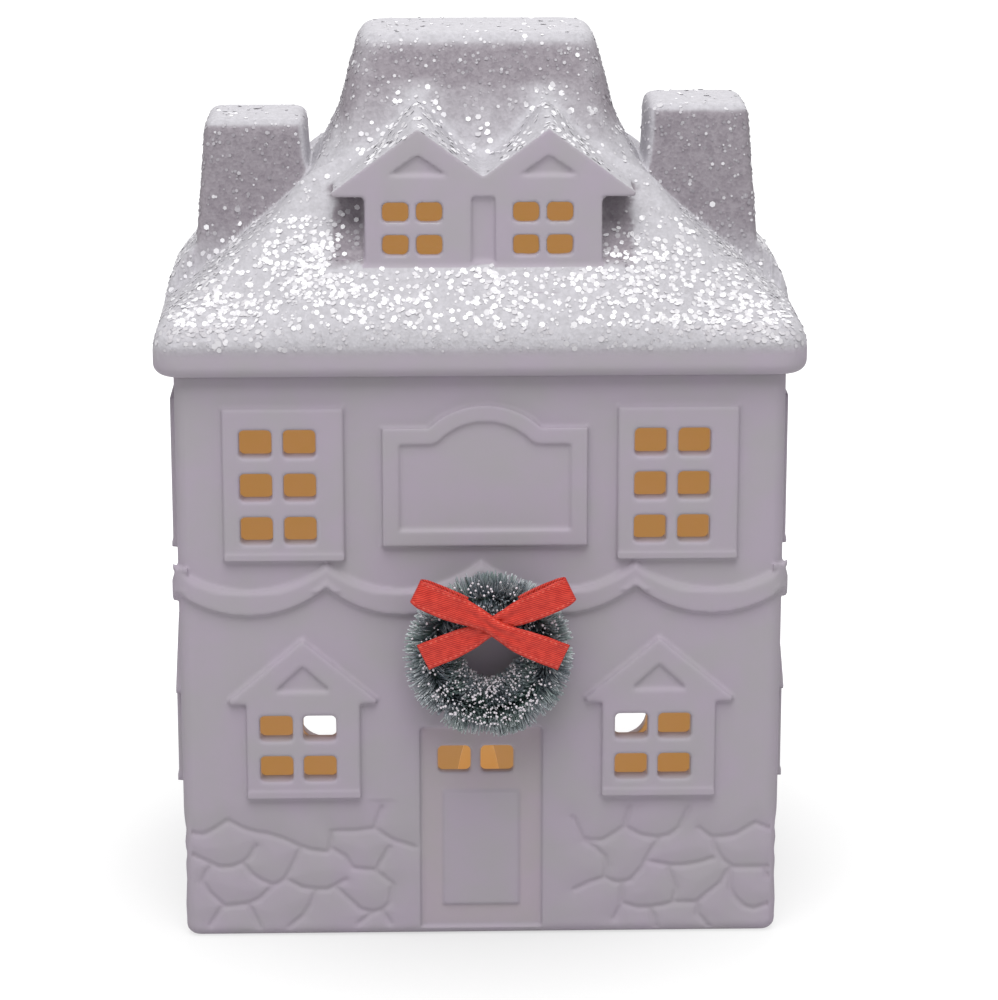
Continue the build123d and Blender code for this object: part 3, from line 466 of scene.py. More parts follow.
# Coarse glitter: six-sided flakes of polyester film, about a millimetre across, stuck in the wet glue.
# They lie thick in drifts on the lower slope and among the dormers, and thin out on the steep faces.
coarse_throws = 130000
coarse_sizes = (0.42 * MM, 0.7 * MM)
coarse_painted_lights = (1, 1, 0.8, 0.5, 0.3, 0.15)
flake_thickness = 0.06 * MM
drift_size = 12 * MM
drift_edges = (-0.25, 0.35)
drift_least = 0.25
dull_edge = 127 * MM
dull_share = 0.4
slope_foot = (121 * MM, 126 * MM)
slope_head = (138 * MM, 150 * MM)
slope_sides = (0.25, 0.6)
slope_flakes = 0.8
side_thinning = 0.75
steep_least = 0.2
ridge_half_x = 24 * MM
ridge_front = -16 * MM
ridge_head = 157 * MM
ridge_lean = 0.4
ridge_flakes = 0.3
stray_flakes = 0.012
lip_cover = 0.35
snow_cover = 0.55
flake_tilt = 0.56
flake_lift = 0.08 * MM
roof_middle = Vector((0, -1, 150)) * MM
throw_reach = 86 * MM


def repeat(name, form, places, material):
    """One piece made of a small form repeated at each place."""
    corners = numpy.array([[*vertex.co, 1] for vertex in form.verts])
    faces = [[vertex.index for vertex in face.verts] for face in form.faces]
    form.free()
    points = numpy.concatenate([(corners @ numpy.array(place).T)[:, :3] for place in places])
    starts = range(0, len(points), len(corners))
    mesh = bpy.data.meshes.new(name)
    mesh.from_pydata(points, [], [[corner + start for corner in face] for start in starts for face in faces])
    mesh.materials.append(material)
    piece = bpy.data.objects.new(name, mesh)
    bpy.context.scene.collection.objects.link(piece)
    return piece


def strew(name, throws, sides, sizes, painted_flake_lights, seed, chance, material):
    """Flakes thrown at the roof from all round, with eleven rolls of chance each.

    They are thin prisms that lie a little tilted on its snow, each painted from grey to white in place of its
    glint.
    """
    places = []
    levels = []
    for roll in numpy.random.default_rng(seed).random((throws, 11)).tolist():
        height = 2 * roll[0] - 1
        breadth = math.sqrt(1 - height * height)
        away = Vector((breadth * math.cos(math.tau * roll[1]), breadth * math.sin(math.tau * roll[1]), height))
        aside = Matrix.Rotation(math.tau * roll[2], 3, away) @ away.orthogonal().normalized()
        start = roof_middle + (away * 2 + aside * math.sqrt(roll[3])) * throw_reach
        spot, facing, struck, gap = sky.ray_cast(start, -away)
        if spot is None:
            continue
        corners = roof.data.polygons[struck].vertices
        if min(strewn_share[corner] for corner in corners) < 0.5 or roll[4] > chance(spot, facing):
            continue
        tilted = facing + Vector([flake_tilt * (share - 0.5) for share in roll[5:8]])
        turn = tilted.to_track_quat("Z", "Y").to_matrix().to_4x4() @ Matrix.Rotation(math.tau * roll[8], 4, "Z")
        size = sizes[0] + (sizes[1] - sizes[0]) * roll[9]
        places.append(Matrix.Translation(spot + facing * flake_lift) @ turn @ Matrix.Diagonal((size, size, 1, 1)))
        # Painted light in each flake's tone: darker below the lip edge, whiter where the coat lies thick.
        dull = spot.z < dull_edge
        level = painted_flake_lights[int(roll[10] * len(painted_flake_lights))] * (dull_share if dull else 1)
        thick = lie_share[corners[0]] * (lip_cover if dull else snow_cover)
        levels.append(thick + (1 - thick) * level)
    flake = bmesh.new()
    bmesh.ops.create_cone(flake, cap_ends=True, segments=sides, radius1=1, radius2=1, depth=flake_thickness)
    piece = repeat(name, flake, places, material)
    painted_flake_light = numpy.repeat(levels, 2 * sides)
    piece.data.attributes.new("painted_flake_light", "FLOAT", "POINT").data.foreach_set("value", painted_flake_light)
    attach(piece, "house")


def coarse_chance(spot, facing):
    """How likely a coarse flake sticks here: in drifts on the slope, and on the dormers' ridges."""
    drift = drift_least + (1 - drift_least) * ease(*drift_edges, numpy.float64(noise.noise(spot / drift_size)))
    height = numpy.float64(spot.z)
    slope = ease(*slope_foot, height) * (1 - ease(*slope_head, height))
    slope *= 1 - side_thinning * ease(*slope_sides, numpy.float64(abs(facing.x)))
    on_ridge = abs(spot.x) < ridge_half_x and spot.y < ridge_front and spot.z > ridge_head
    ridge = ridge_flakes if on_ridge and facing.z > ridge_lean else 0
    return max(facing.z, steep_least) * max(stray_flakes + slope_flakes * drift * slope, ridge)


# White polyester film: bright and a little glossy. Each flake's tone is painted light, grey to white: the bright
# flakes are painted glints and the grey ones painted shade.
film, tree, surface = new_finish("polyester_glitter")
surface.inputs["Roughness"].default_value = 0.3
painted_flake_light = add_node(tree, "ShaderNodeAttribute", {"attribute_name": "painted_flake_light"}).outputs["Fac"]
tone = add_node(tree, "ShaderNodeMix", {"data_type": "RGBA"}, {6: linear("#8f8991"), 7: linear("#fbfafd")},
                {0: painted_flake_light})
tree.links.new(tone.outputs[2], surface.inputs["Base Color"])
strew("coarse_glitter", coarse_throws, 6, coarse_sizes, coarse_painted_lights, 11, coarse_chance, film)

# Fine glitter: the same film chopped smaller, shaken over every snowy face of the roof.
# It gives the steep faces and chimneys their crumbly grain, and a few pin-point glints painted into its tones.
fine_throws = 110000
fine_sizes = (0.18 * MM, 0.44 * MM)
fine_painted_lights = (0.6, 0.35, 0.28, 0.22, 0.16, 0.1, 0.05)
fine_share = 0.33
smooth_share = 0.05
smooth_lean = 0.6
dormer_back = -18 * MM


def fine_chance(spot, facing):
    """How likely a fine flake sticks here: seldom on the smooth tops and dormer roofs."""
    on_dormer = abs(spot.x) < dormer_reach and spot.y < dormer_back
    return smooth_share if spot.z > ridge_foot and (facing.z > smooth_lean or on_dormer) else fine_share


strew("fine_glitter", fine_throws, 5, fine_sizes, fine_painted_lights, 12, fine_chance, film)

# Wreath bristles: short sisal fibres held in the twist of the wire ring, dyed dark slate and green.
# They stand out all round the wire except at the wall, and their ends are touched with white.
wire_low, wire_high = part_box("wreath_wire")
ring_middle = (Vector(wire_low) + Vector(wire_high)) / 2
ring_radius = (wire_high[0] - wire_low[0]) / 2 - (wire_high[1] - wire_low[1]) / 2
strand_count = 5400
tuft_count = 420
strand_reach = 5.7 * MM
strand_root = 0.19 * MM
strand_tip = 0.14 * MM
strand_spread = math.radians(141)
strand_rear = -44.2 * MM
strand_shortest = 0.78
strand_stray = 0.11
tuft_width = 0.09
inner_start = -0.5
inner_low = -0.2
inner_growth = 0.22
tuft_least = 0.35
strand_least = 0.6
outer_start = 0.2
inner_frost = 0.6

# Dyed sisal: dull dark slate with greener tufts, fading to frosted grey at the ends.
sisal, tree, surface = new_finish("frosted_sisal")
surface.inputs["Roughness"].default_value = 0.75
place = add_node(tree, "ShaderNodeTexCoord").outputs["Object"]
tuft = add_node(tree, "ShaderNodeTexNoise", None, {"Scale": 1 / (6 * MM), "Detail": 2.0}, {"Vector": place})
greener = add_node(tree, "ShaderNodeMapRange", None, {"From Min": 0.45, "From Max": 0.7},
                   {"Value": tuft.outputs["Fac"]})
dyed = add_node(tree, "ShaderNodeMix", {"data_type": "RGBA"}, {6: linear("#4f6070"), 7: linear("#578374")},
                {0: greener.outputs[0]})
along = add_node(tree, "ShaderNodeAttribute", {"attribute_name": "along"}).outputs["Fac"]
frost = add_node(tree, "ShaderNodeAttribute", {"attribute_name": "frost"}).outputs["Fac"]
white = add_node(tree, "ShaderNodeMath", {"operation": "MULTIPLY"}, None, {0: along, 1: frost})
tone = add_node(tree, "ShaderNodeMix", {"data_type": "RGBA"}, {7: linear("#eff3f5")},
                {0: white.outputs[0], 6: dyed.outputs[2]})
tree.links.new(tone.outputs[2], surface.inputs["Base Color"])

pick = random.Random(21)
places = []
levels = []
tufts = [(pick.uniform(0, math.tau), pick.uniform(-strand_spread, strand_spread), pick.random())
         for place in range(tuft_count)]
for strand in range(strand_count):
    angle, spread, whitened = tufts[strand % tuft_count]
    angle += pick.gauss(0, tuft_width)
    outward = Vector((math.cos(angle), 0, math.sin(angle)))
    facing = outward * math.sin(spread) + Vector((0, -math.cos(spread), 0))
    facing = (facing + Vector([pick.gauss(0, strand_stray) for axis in range(3)])).normalized()
    inner = inner_growth if spread < inner_start and outward.z < inner_low else 0
    reach = strand_reach * (pick.uniform(strand_shortest, 1) + inner)
    root = ring_middle + outward * ring_radius
    if (root + facing * reach).y > strand_rear:
        continue
    stand = Matrix.Translation(root + facing * (reach / 2)) @ facing.to_track_quat("Z", "Y").to_matrix().to_4x4()
    places.append(stand @ Matrix.Diagonal((1, 1, reach, 1)))
    whitened = tuft_least + (1 - tuft_least) * whitened
    levels.append(whitened * pick.uniform(strand_least, 1) * (1 if spread > outer_start else inner_frost))
fibre = bmesh.new()
bmesh.ops.create_cone(fibre, cap_ends=False, segments=3, radius1=strand_root, radius2=strand_tip, depth=1)
climbs = [1 if vertex.co.z > 0 else 0 for vertex in fibre.verts]
bristles = repeat("bristles", fibre, places, sisal)
bristles.data.attributes.new("along", "FLOAT", "POINT").data.foreach_set("value", numpy.tile(climbs, len(places)))
bristles.data.attributes.new("frost", "FLOAT", "POINT").data.foreach_set("value", numpy.repeat(levels, len(climbs)))
bristles.data.shade_smooth()
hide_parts("wreath_bristles")
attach(bristles, "house")

# Frost: drops of white flock paint on the ends of the bristles, thickest on the lower half of the ring
# and round its hole, where the brush was dabbed.
drop_count = 760
drop_sizes = (0.15 * MM, 0.3 * MM)
drop_reach = (0.84, 0.98)
drop_growth = 0.2
dabbed_share = 0.75
dabbed_width = 0.85
dabbed_spread = (-1.7, 0.4)
upper_width = 0.9
upper_spread = (-0.9, 1.1)

# Flock paint: matt, a little pink in the shade, with a fine crumb.
flock, tree, surface = new_finish("white_flock")
surface.inputs["Roughness"].default_value = 0.9
place = add_node(tree, "ShaderNodeTexCoord").outputs["Object"]
crumb = add_node(tree, "ShaderNodeTexNoise", None, {"Scale": 1 / (0.2 * MM), "Detail": 2.0}, {"Vector": place})
tone = add_node(tree, "ShaderNodeMix", {"data_type": "RGBA"}, {6: linear("#cfc6cf"), 7: linear("#f6f2f6")},
                {0: crumb.outputs["Fac"]})
tree.links.new(tone.outputs[2], surface.inputs["Base Color"])
relief = add_node(tree, "ShaderNodeBump", None, {"Strength": 0.4, "Distance": 0.05 * MM},
                  {"Height": crumb.outputs["Fac"]})
tree.links.new(relief.outputs["Normal"], surface.inputs["Normal"])

pick = random.Random(22)
places = []
for drop in range(drop_count):
    dabbed = pick.random() < dabbed_share
    angle = pick.gauss(-math.pi / 2, dabbed_width) if dabbed else pick.gauss(math.pi / 2, upper_width)
    spread = pick.uniform(*(dabbed_spread if dabbed else upper_spread))
    outward = Vector((math.cos(angle), 0, math.sin(angle)))
    facing = outward * math.sin(spread) + Vector((0, -math.cos(spread), 0))
    inner = drop_growth if spread < inner_start and outward.z < inner_low else 0
    middle = ring_middle + outward * ring_radius + facing * strand_reach * (pick.uniform(*drop_reach) + inner)
    if middle.y < strand_rear - MM:
        places.append(Matrix.Translation(middle) @ Matrix.Scale(pick.uniform(*drop_sizes), 4))
blob = bmesh.new()
bmesh.ops.create_icosphere(blob, subdivisions=1, radius=1)
frost_drops = repeat("frost_drops", blob, places, flock)
frost_drops.data.shade_smooth()
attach(frost_drops, "house")

# Wreath wire: two wires in dull green paint, twisted together and closed into a ring.
# The bristles hide it, so its plain CAD ring stays.
painted, tree, surface = new_finish("green_painted_wire")
surface.inputs["Roughness"].default_value = 0.5
place = add_node(tree, "ShaderNodeTexCoord").outputs["Object"]
chips = add_node(tree, "ShaderNodeTexNoise", None, {"Scale": 1 / (0.8 * MM), "Detail": 3.0}, {"Vector": place})
tone = add_node(tree, "ShaderNodeMix", {"data_type": "RGBA"}, {6: linear("#24352c"), 7: linear("#3d5547")},
                {0: chips.outputs["Fac"]})
tree.links.new(tone.outputs[2], surface.inputs["Base Color"])


def dress(node, material):
    """Give a CAD node that stays its finish."""
    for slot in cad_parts[node].material_slots:
        slot.material = material


dress("wreath_wire", painted)

# Bow: two lengths of narrow red satin ribbon crossed on the wreath. Each lower end is a cut tail, and each
# upper end is folded back on itself into a flat loop. The ribbon pinches where the two are glued.
ribbon_width = 6 * MM
ribbon_thickness = 0.35 * MM
loop_reach = 16.6 * MM
loop_radius = 0.9 * MM
tail_reach = 15.2 * MM
back_start = 6.6 * MM
bow_lean = math.radians(25.5)
bow_middle = Vector((2.1, 0, 70)) * MM
under_face = -57.05 * MM
over_face = -57.85 * MM
puff_place = 10 * MM
puff_width = 4 * MM
puff_rise = 0.5 * MM
pinch_width = 5.4 * MM
pleat_rise = 0.22 * MM
curl_start = 8 * MM
curl_rate = 14
fold_depth = 0.12
flat_share = 0.92
pinch_share = 0.36
crown_fall = 0.8
sway_length = 4.6 * MM
sway_reach = 9 * MM
ripple_length = 3 * MM
ripple_rise = 0.3 * MM
front_run = tail_reach + loop_reach - loop_radius
ribbon_length = front_run + math.pi * loop_radius + loop_reach - loop_radius - back_start

# Satin ribbon: red over a diagonal weave, its sheen painted in, with a row of pale stitches inside each selvedge.
# The weave is drawn 0.6 mm wide, coarser than real threads, so that it shows.
satin, tree, surface = new_finish("red_satin_ribbon")
surface.inputs["Roughness"].default_value = 0.42
surface.inputs["Specular IOR Level"].default_value = 0.35
strip = add_node(tree, "ShaderNodeAttribute", {"attribute_name": "strip"}).outputs["Vector"]
axes = add_node(tree, "ShaderNodeSeparateXYZ", None, None, {0: strip})
weave = add_node(tree, "ShaderNodeTexWave", {"bands_direction": "DIAGONAL"},
                 {"Scale": math.tau / (10 * 0.6 * MM), "Distortion": 1.5, "Detail": 2.0}, {"Vector": strip})
cloudy = add_node(tree, "ShaderNodeTexNoise", None, {"Scale": 1 / (1.5 * MM), "Detail": 5.0}, {"Vector": strip})
weave_and_sheen = add_node(tree, "ShaderNodeMix", {"data_type": "FLOAT"}, {0: 0.65},
                  {2: weave.outputs["Fac"], 3: cloudy.outputs["Fac"]})
# Painted sheen: the red runs from dark to bright with the weave's lines, which are its own pattern, and with larger
# cloudy patches.
painted_sheen = add_node(tree, "ShaderNodeMapRange", None, {"From Min": 0.35, "From Max": 0.65},
                  {"Value": weave_and_sheen.outputs[0]})
red = add_node(tree, "ShaderNodeMix", {"data_type": "RGBA"}, {6: linear("#ad1f18"), 7: linear("#de4535")},
               {0: painted_sheen.outputs[0]})
from_middle = add_node(tree, "ShaderNodeMath", {"operation": "ABSOLUTE"}, None, {0: axes.outputs["Y"]})
row = add_node(tree, "ShaderNodeMath", {"operation": "COMPARE"}, {1: 2.35 * MM, 2: 0.16 * MM},
               {0: from_middle.outputs[0]})
beat = add_node(tree, "ShaderNodeMath", {"operation": "PINGPONG"}, {1: 0.55 * MM}, {0: axes.outputs["X"]})
stitch = add_node(tree, "ShaderNodeMath", {"operation": "GREATER_THAN"}, {1: 0.3 * MM}, {0: beat.outputs[0]})
pale = add_node(tree, "ShaderNodeMath", {"operation": "MULTIPLY"}, None,
                {0: row.outputs[0], 1: stitch.outputs[0]})
sewn = add_node(tree, "ShaderNodeMath", {"operation": "MULTIPLY"}, None,
                {0: pale.outputs[0], 1: cloudy.outputs["Fac"]})
tone = add_node(tree, "ShaderNodeMix", {"data_type": "RGBA"}, {7: linear("#e86f5e")},
                {0: sewn.outputs[0], 6: red.outputs[2]})
tree.links.new(tone.outputs[2], surface.inputs["Base Color"])
relief = add_node(tree, "ShaderNodeBump", None, {"Strength": 0.35, "Distance": 0.08 * MM},
                  {"Height": weave_and_sheen.outputs[0]})
tree.links.new(relief.outputs["Normal"], surface.inputs["Normal"])


def tie_ribbon(name, node, side, face, crown, bow):
    """One ribbon of the bow, from its cut tail over the crossing and round its loop."""
    cloth = bmesh.new()
    bmesh.ops.create_grid(cloth, x_segments=120, y_segments=12, size=0.5)
    strip_layer = cloth.verts.layers.float_vector.new("strip")
    for vertex in cloth.verts:
        run = (vertex.co.x + 0.5) * ribbon_length
        share = vertex.co.y * 2
        vertex[strip_layer] = (run, share * ribbon_width / 2, 0)
        turn = min(max((run - front_run) / loop_radius, 0), math.pi)
        reach = min(run, front_run) - tail_reach + loop_radius * math.sin(turn)
        reach -= max(run - front_run - math.pi * loop_radius, 0)
        back = loop_radius * (1 - math.cos(turn))
        puff = math.exp(-((reach - puff_place) / puff_width) ** 2) * math.cos(turn) * puff_rise
        pinch = math.exp(-(reach / pinch_width) ** 2)
        fold = 1 - fold_depth * math.exp(-((reach - loop_reach) / MM) ** 2)
        curl = max(-reach - curl_start, 0) ** 2 * curl_rate
        ripple = noise.noise(Vector((run / ripple_length, share * 0.9, side * 5))) * ripple_rise
        across = share * ribbon_width / 2 * (flat_share - pinch_share * pinch) * fold
        across += bow * MM * math.sin(reach / sway_length) * math.exp(-(reach / sway_reach) ** 2)
        pleat = pleat_rise * pinch * math.cos(share * math.tau)
        out = face + back - puff - crown * pinch * (1 - crown_fall * share * share) + curl + ripple + pleat
        vertex.co = (
            bow_middle.x + side * reach * math.cos(bow_lean) - side * across * math.sin(bow_lean),
            out,
            bow_middle.z + reach * math.sin(bow_lean) + across * math.cos(bow_lean))
    bmesh.ops.recalc_face_normals(cloth, faces=cloth.faces)
    piece = new_piece(name, cloth, satin)
    cut = piece.modifiers.new("thickness", "SOLIDIFY")
    cut.thickness = ribbon_thickness
    cut.offset = 0
    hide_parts(node)
    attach(piece, "house")


tie_ribbon("under_ribbon", "bow_ribbon_under", 1, under_face, 0, 0.3)
tie_ribbon("over_ribbon", "bow_ribbon_over", -1, over_face, 0.5 * MM, 0.6)

# Glue: dabs of hot-melt that hold the wreath to the wall and the bow to the wreath.
# It set where it was pressed, cloudy and a little yellow.
melt, tree, surface = new_finish("hot_melt_glue")
surface.inputs["Roughness"].default_value = 0.35
surface.inputs["Subsurface Weight"].default_value = 0.3
surface.inputs["Subsurface Scale"].default_value = 0.5 * MM
place = add_node(tree, "ShaderNodeTexCoord").outputs["Object"]
cloud = add_node(tree, "ShaderNodeTexNoise", None, {"Scale": 1 / (1.5 * MM), "Detail": 3.0}, {"Vector": place})
tone = add_node(tree, "ShaderNodeMix", {"data_type": "RGBA"}, {6: linear("#cfc5ad"), 7: linear("#e9e3d5")},
                {0: cloud.outputs["Fac"]})
tree.links.new(tone.outputs[2], surface.inputs["Base Color"])
relief = add_node(tree, "ShaderNodeBump", None, {"Strength": 0.3, "Distance": 0.1 * MM},
                  {"Height": cloud.outputs["Fac"]})
tree.links.new(relief.outputs["Normal"], surface.inputs["Normal"])
dress("wreath_glue", melt)
dress("bow_glue", melt)

# Light shell: cup, base plate and twist-off battery cover, injection moulded in warm white plastic.
# The CAD solids stay.
shell, tree, surface = new_finish("warm_white_polypropylene")
surface.inputs["Specular IOR Level"].default_value = 0.45
place = add_node(tree, "ShaderNodeTexCoord").outputs["Object"]
flow = add_node(tree, "ShaderNodeTexNoise", None, {"Scale": 1 / (12 * MM), "Detail": 2.0}, {"Vector": place})
tone = add_node(tree, "ShaderNodeMix", {"data_type": "RGBA"}, {6: linear("#e8e2d4"), 7: linear("#f1ecdf")},
                {0: flow.outputs["Fac"]})
tree.links.new(tone.outputs[2], surface.inputs["Base Color"])
spark = add_node(tree, "ShaderNodeTexNoise", None, {"Scale": 1 / (0.25 * MM), "Detail": 2.0}, {"Vector": place})
worn = add_node(tree, "ShaderNodeMapRange", None, {"To Min": 0.38, "To Max": 0.58},
                {"Value": spark.outputs["Fac"]})
tree.links.new(worn.outputs[0], surface.inputs["Roughness"])
relief = add_node(tree, "ShaderNodeBump", None, {"Strength": 0.2, "Distance": 0.03 * MM},
                  {"Height": spark.outputs["Fac"]})
tree.links.new(relief.outputs["Normal"], surface.inputs["Normal"])
dress("light_cup", shell)
dress("base_plate", shell)
dress("battery_cover", shell)

# Flame lens: a hollow flame blown in frosted plastic, snapped over the lamp.
# It is lit from below, so it glows deeper amber at its foot and paler at its tip.
frosted, tree, surface = new_finish("lit_frosted_plastic")
surface.inputs["Base Color"].default_value = linear("#e9d7b8")
surface.inputs["Roughness"].default_value = 0.55
place = add_node(tree, "ShaderNodeTexCoord").outputs["Object"]
axes = add_node(tree, "ShaderNodeSeparateXYZ", None, None, {0: place})
climb = add_node(tree, "ShaderNodeMapRange", None, {"From Min": 18 * MM, "From Max": 38 * MM},
                 {"Value": axes.outputs["Z"]})
amber = add_node(tree, "ShaderNodeMix", {"data_type": "RGBA"}, {6: linear("#ffa94a"), 7: linear("#ffcf85")},
                 {0: climb.outputs[0]})
tree.links.new(amber.outputs[2], surface.inputs["Emission Color"])
surface.inputs["Emission Strength"].default_value = 0.2
dress("flame_lens", frosted)

# Lamp: a 5 mm amber lamp in clear epoxy with its two tinned leads, pushed through the carrier.
# The leads are drawn wire and show fine lines along their length.
epoxy, tree, surface = new_finish("amber_epoxy")
surface.inputs["Roughness"].default_value = 0.12
surface.inputs["Emission Color"].default_value = linear("#ffb04a")
surface.inputs["Emission Strength"].default_value = 1.2
place = add_node(tree, "ShaderNodeTexCoord").outputs["Object"]
depth = add_node(tree, "ShaderNodeTexNoise", None, {"Scale": 1 / (2 * MM)}, {"Vector": place})
tone = add_node(tree, "ShaderNodeMix", {"data_type": "RGBA"}, {6: linear("#d99a3e"), 7: linear("#f2c777")},
                {0: depth.outputs["Fac"]})
tree.links.new(tone.outputs[2], surface.inputs["Base Color"])
dress("led_lamp", epoxy)
tinned, tree, surface = new_finish("tinned_copper")
surface.inputs["Metallic"].default_value = 1
place = add_node(tree, "ShaderNodeTexCoord").outputs["Object"]
drawn = add_node(tree, "ShaderNodeTexNoise", None, {"Scale": 1 / (0.3 * MM), "Detail": 3.0}, {"Vector": place})
tone = add_node(tree, "ShaderNodeMix", {"data_type": "RGBA"}, {6: linear("#a9a9ac"), 7: linear("#d2d2d4")},
                {0: drawn.outputs["Fac"]})
tree.links.new(tone.outputs[2], surface.inputs["Base Color"])
dull = add_node(tree, "ShaderNodeMapRange", None, {"To Min": 0.22, "To Max": 0.45},
                {"Value": drawn.outputs["Fac"]})
tree.links.new(dull.outputs[0], surface.inputs["Roughness"])
dress("led_leads", tinned)

# Battery: the moulded carrier that holds lamp, leads and coin cell, and the cell itself in its steel can.
# The can's faces are brushed round by rolling.
moulded, tree, surface = new_finish("grey_white_abs")
surface.inputs["Roughness"].default_value = 0.5
place = add_node(tree, "ShaderNodeTexCoord").outputs["Object"]
spark = add_node(tree, "ShaderNodeTexNoise", None, {"Scale": 1 / (0.3 * MM), "Detail": 2.0}, {"Vector": place})
tone = add_node(tree, "ShaderNodeMix", {"data_type": "RGBA"}, {6: linear("#c2bfb7"), 7: linear("#d2cfc8")},
                {0: spark.outputs["Fac"]})
tree.links.new(tone.outputs[2], surface.inputs["Base Color"])
relief = add_node(tree, "ShaderNodeBump", None, {"Strength": 0.2, "Distance": 0.03 * MM},
                  {"Height": spark.outputs["Fac"]})
tree.links.new(relief.outputs["Normal"], surface.inputs["Normal"])
dress("cell_carrier", moulded)
rolled, tree, surface = new_finish("rolled_steel_can")
surface.inputs["Metallic"].default_value = 1
place = add_node(tree, "ShaderNodeTexCoord").outputs["Object"]
brushed = add_node(tree, "ShaderNodeTexNoise", None, {"Scale": 1 / (0.5 * MM), "Detail": 4.0},
                   {"Vector": place})
tone = add_node(tree, "ShaderNodeMix", {"data_type": "RGBA"}, {6: linear("#b4b4b7"), 7: linear("#d6d6d8")},
                {0: brushed.outputs["Fac"]})
tree.links.new(tone.outputs[2], surface.inputs["Base Color"])
dull = add_node(tree, "ShaderNodeMapRange", None, {"To Min": 0.25, "To Max": 0.42},
                {"Value": brushed.outputs["Fac"]})
tree.links.new(dull.outputs[0], surface.inputs["Roughness"])
dress("coin_cell", rolled)

# Contacts: two sprung strips that press on the cell, one on its face and one on its rim.
# They are stamped from brass sheet and a little tarnished.
brass, tree, surface = new_finish("stamped_brass")
surface.inputs["Metallic"].default_value = 1
surface.inputs["Roughness"].default_value = 0.35
place = add_node(tree, "ShaderNodeTexCoord").outputs["Object"]
tarnish = add_node(tree, "ShaderNodeTexNoise", None, {"Scale": 1 / (2 * MM), "Detail": 3.0}, {"Vector": place})
tone = add_node(tree, "ShaderNodeMix", {"data_type": "RGBA"}, {6: linear("#a8893f"), 7: linear("#d8ba70")},
                {0: tarnish.outputs["Fac"]})
tree.links.new(tone.outputs[2], surface.inputs["Base Color"])
dress("centre_contact", brass)
dress("side_contact", brass)

# Base screws: two small screws up through base plate and carrier into the cup.
# They are plain steel, bright with turning marks.
turned, tree, surface = new_finish("plain_steel")
surface.inputs["Metallic"].default_value = 1
place = add_node(tree, "ShaderNodeTexCoord").outputs["Object"]
marks = add_node(tree, "ShaderNodeTexNoise", None, {"Scale": 1 / (0.4 * MM), "Detail": 3.0}, {"Vector": place})
tone = add_node(tree, "ShaderNodeMix", {"data_type": "RGBA"}, {6: linear("#88888b"), 7: linear("#aeaeb1")},
                {0: marks.outputs["Fac"]})
tree.links.new(tone.outputs[2], surface.inputs["Base Color"])
dull = add_node(tree, "ShaderNodeMapRange", None, {"To Min": 0.3, "To Max": 0.5},
                {"Value": marks.outputs["Fac"]})
tree.links.new(dull.outputs[0], surface.inputs["Roughness"])
dress("base_screws", turned)

# Switch: a small slider that runs in a slot of the base plate.
# It is moulded in black acetal, matt from a spark-eroded mould.
black, tree, surface = new_finish("black_acetal")
surface.inputs["Roughness"].default_value = 0.55
place = add_node(tree, "ShaderNodeTexCoord").outputs["Object"]
spark = add_node(tree, "ShaderNodeTexNoise", None, {"Scale": 1 / (0.25 * MM), "Detail": 2.0}, {"Vector": place})
tone = add_node(tree, "ShaderNodeMix", {"data_type": "RGBA"}, {6: linear("#1b1b1d"), 7: linear("#2c2c2f")},
                {0: spark.outputs["Fac"]})
tree.links.new(tone.outputs[2], surface.inputs["Base Color"])
relief = add_node(tree, "ShaderNodeBump", None, {"Strength": 0.3, "Distance": 0.04 * MM},
                  {"Height": spark.outputs["Fac"]})
tree.links.new(relief.outputs["Normal"], surface.inputs["Normal"])
dress("switch_slider", black)

# Studio: a white sheet of paper under the house, a broad softbox over its front, a weaker one behind it
# and a pale room around it. None of it belongs to the object.
floor_half = 4
shadow_start = 0.045
shadow_end = 0.14
shadow_floor = 0.62
room_light = 0.52
softbox_side = 0.7
softbox_aim = Vector((0, -0.02, 0.1))
softboxes = (("front_softbox", (-0.05, -0.52, 0.95), 7.4), ("rear_softbox", (0.1, 0.75, 0.7), 3.2))
paper, tree, surface = new_finish("white_paper")
tree.nodes.remove(surface)
path = add_node(tree, "ShaderNodeLightPath")
seen = add_node(tree, "ShaderNodeMath", {"operation": "MAXIMUM"}, None,
                {0: path.outputs["Is Camera Ray"], 1: path.outputs["Is Glossy Ray"]})
seen = add_node(tree, "ShaderNodeMath", {"operation": "MAXIMUM"}, None,
                {0: seen.outputs[0], 1: path.outputs["Is Transmission Ray"]})
sheet = add_node(tree, "ShaderNodeBsdfDiffuse", None, {"Color": linear("#d8d8d8")})
shade = add_node(tree, "ShaderNodeBsdfDiffuse", None, {"Color": (0.25, 0.25, 0.25, 1)})
place = add_node(tree, "ShaderNodeTexCoord").outputs["Object"]
apart = add_node(tree, "ShaderNodeVectorMath", {"operation": "LENGTH"}, None, {0: place})
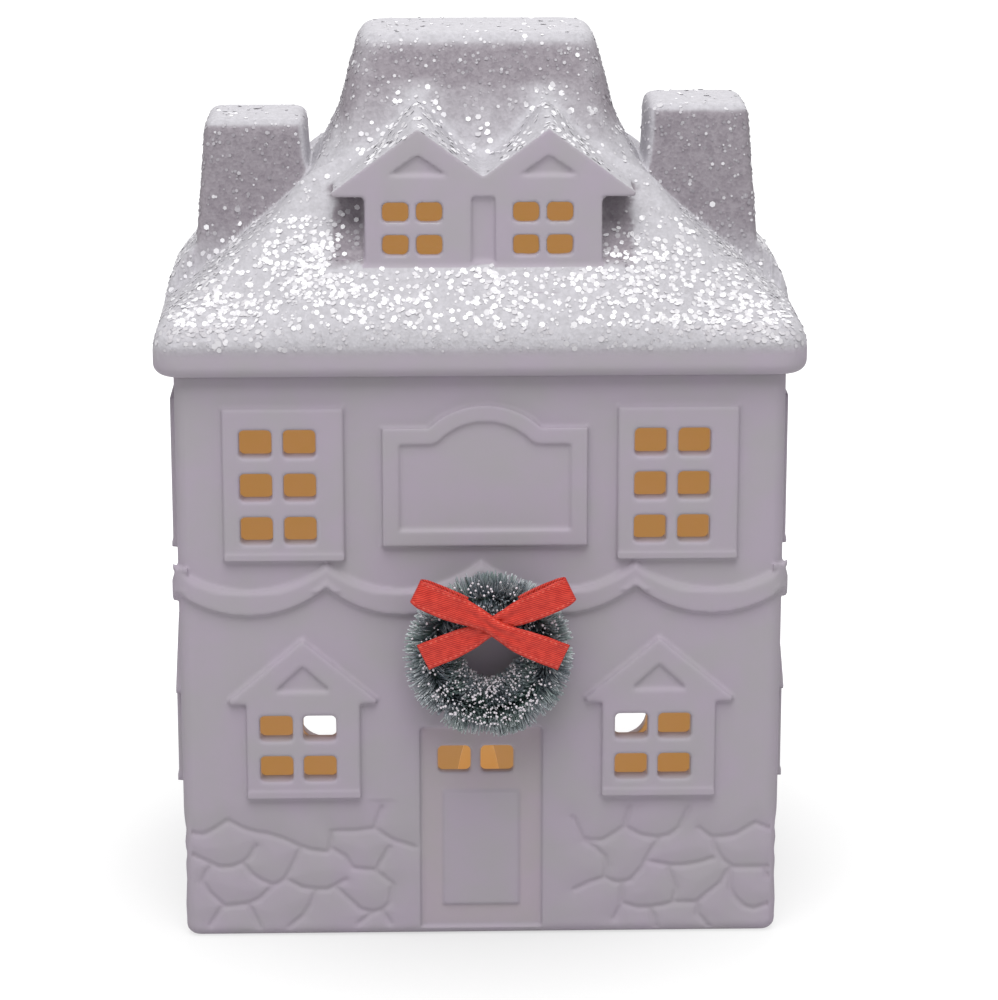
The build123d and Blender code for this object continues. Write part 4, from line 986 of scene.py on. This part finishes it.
# The paper's white glow dims close to the house: a painted shadow round its foot, added to the real one.
clear = add_node(tree, "ShaderNodeMapRange", None,
                 {"From Min": shadow_start, "From Max": shadow_end, "To Min": shadow_floor, "To Max": 1.0},
                 {"Value": apart.outputs["Value"]})
white = add_node(tree, "ShaderNodeEmission", None, None, {"Strength": clear.outputs[0]})
bright = add_node(tree, "ShaderNodeAddShader", None, None, {0: shade.outputs[0], 1: white.outputs[0]})
shown = add_node(tree, "ShaderNodeMixShader", None, None,
                 {0: seen.outputs[0], 1: sheet.outputs[0], 2: bright.outputs[0]})
tree.links.new(shown.outputs[0], tree.nodes["Material Output"].inputs["Surface"])
floor_shape = bmesh.new()
bmesh.ops.create_grid(floor_shape, x_segments=1, y_segments=1, size=floor_half)
paper_floor = new_piece("paper_floor", floor_shape, paper)

world = bpy.data.worlds.new("pale_room")
bpy.context.scene.world = world
world.use_nodes = True
tree = world.node_tree
path = add_node(tree, "ShaderNodeLightPath")
seen = add_node(tree, "ShaderNodeMath", {"operation": "MAXIMUM"}, None,
                {0: path.outputs["Is Camera Ray"], 1: path.outputs["Is Transmission Ray"]})
room = tree.nodes["Background"]
room.inputs["Color"].default_value = (1, 1, 1, 1)
room.inputs["Strength"].default_value = room_light
backdrop = add_node(tree, "ShaderNodeBackground", None, {"Color": (1, 1, 1, 1), "Strength": 1.0})
shown = add_node(tree, "ShaderNodeMixShader", None, None,
                 {0: seen.outputs[0], 1: room.outputs[0], 2: backdrop.outputs[0]})
tree.links.new(shown.outputs[0], tree.nodes["World Output"].inputs["Surface"])

for name, spot, power in softboxes:
    softbox = bpy.data.lights.new(name, "AREA")
    softbox.shape = "RECTANGLE"
    softbox.size = softbox_side
    softbox.size_y = softbox_side
    softbox.energy = power
    lamp = bpy.data.objects.new(name, softbox)
    lamp.location = spot
    lamp.rotation_euler = (softbox_aim - lamp.location).to_track_quat("-Z", "Y").to_euler()
    bpy.context.scene.collection.objects.link(lamp)

# Camera: in front of the house, a little to its left, looking down 15 degrees through a long lens.
# It stands where the photograph was taken from.
focal_pixels = 3556
picture_width = 998
lens = bpy.data.cameras.new("camera")
lens.sensor_fit = "HORIZONTAL"
lens.sensor_width = 36
lens.lens = focal_pixels / picture_width * lens.sensor_width
camera = bpy.data.objects.new("camera", lens)
camera.location = Vector((-14.13, -718.92, 272.77)) * MM
aim = Vector((3.57, -43, 91.6)) * MM - camera.location
camera.rotation_euler = aim.to_track_quat("-Z", "Y").to_euler()
bpy.context.scene.collection.objects.link(camera)
bpy.context.scene.camera = camera
bpy.context.scene.view_settings.view_transform = "Standard"
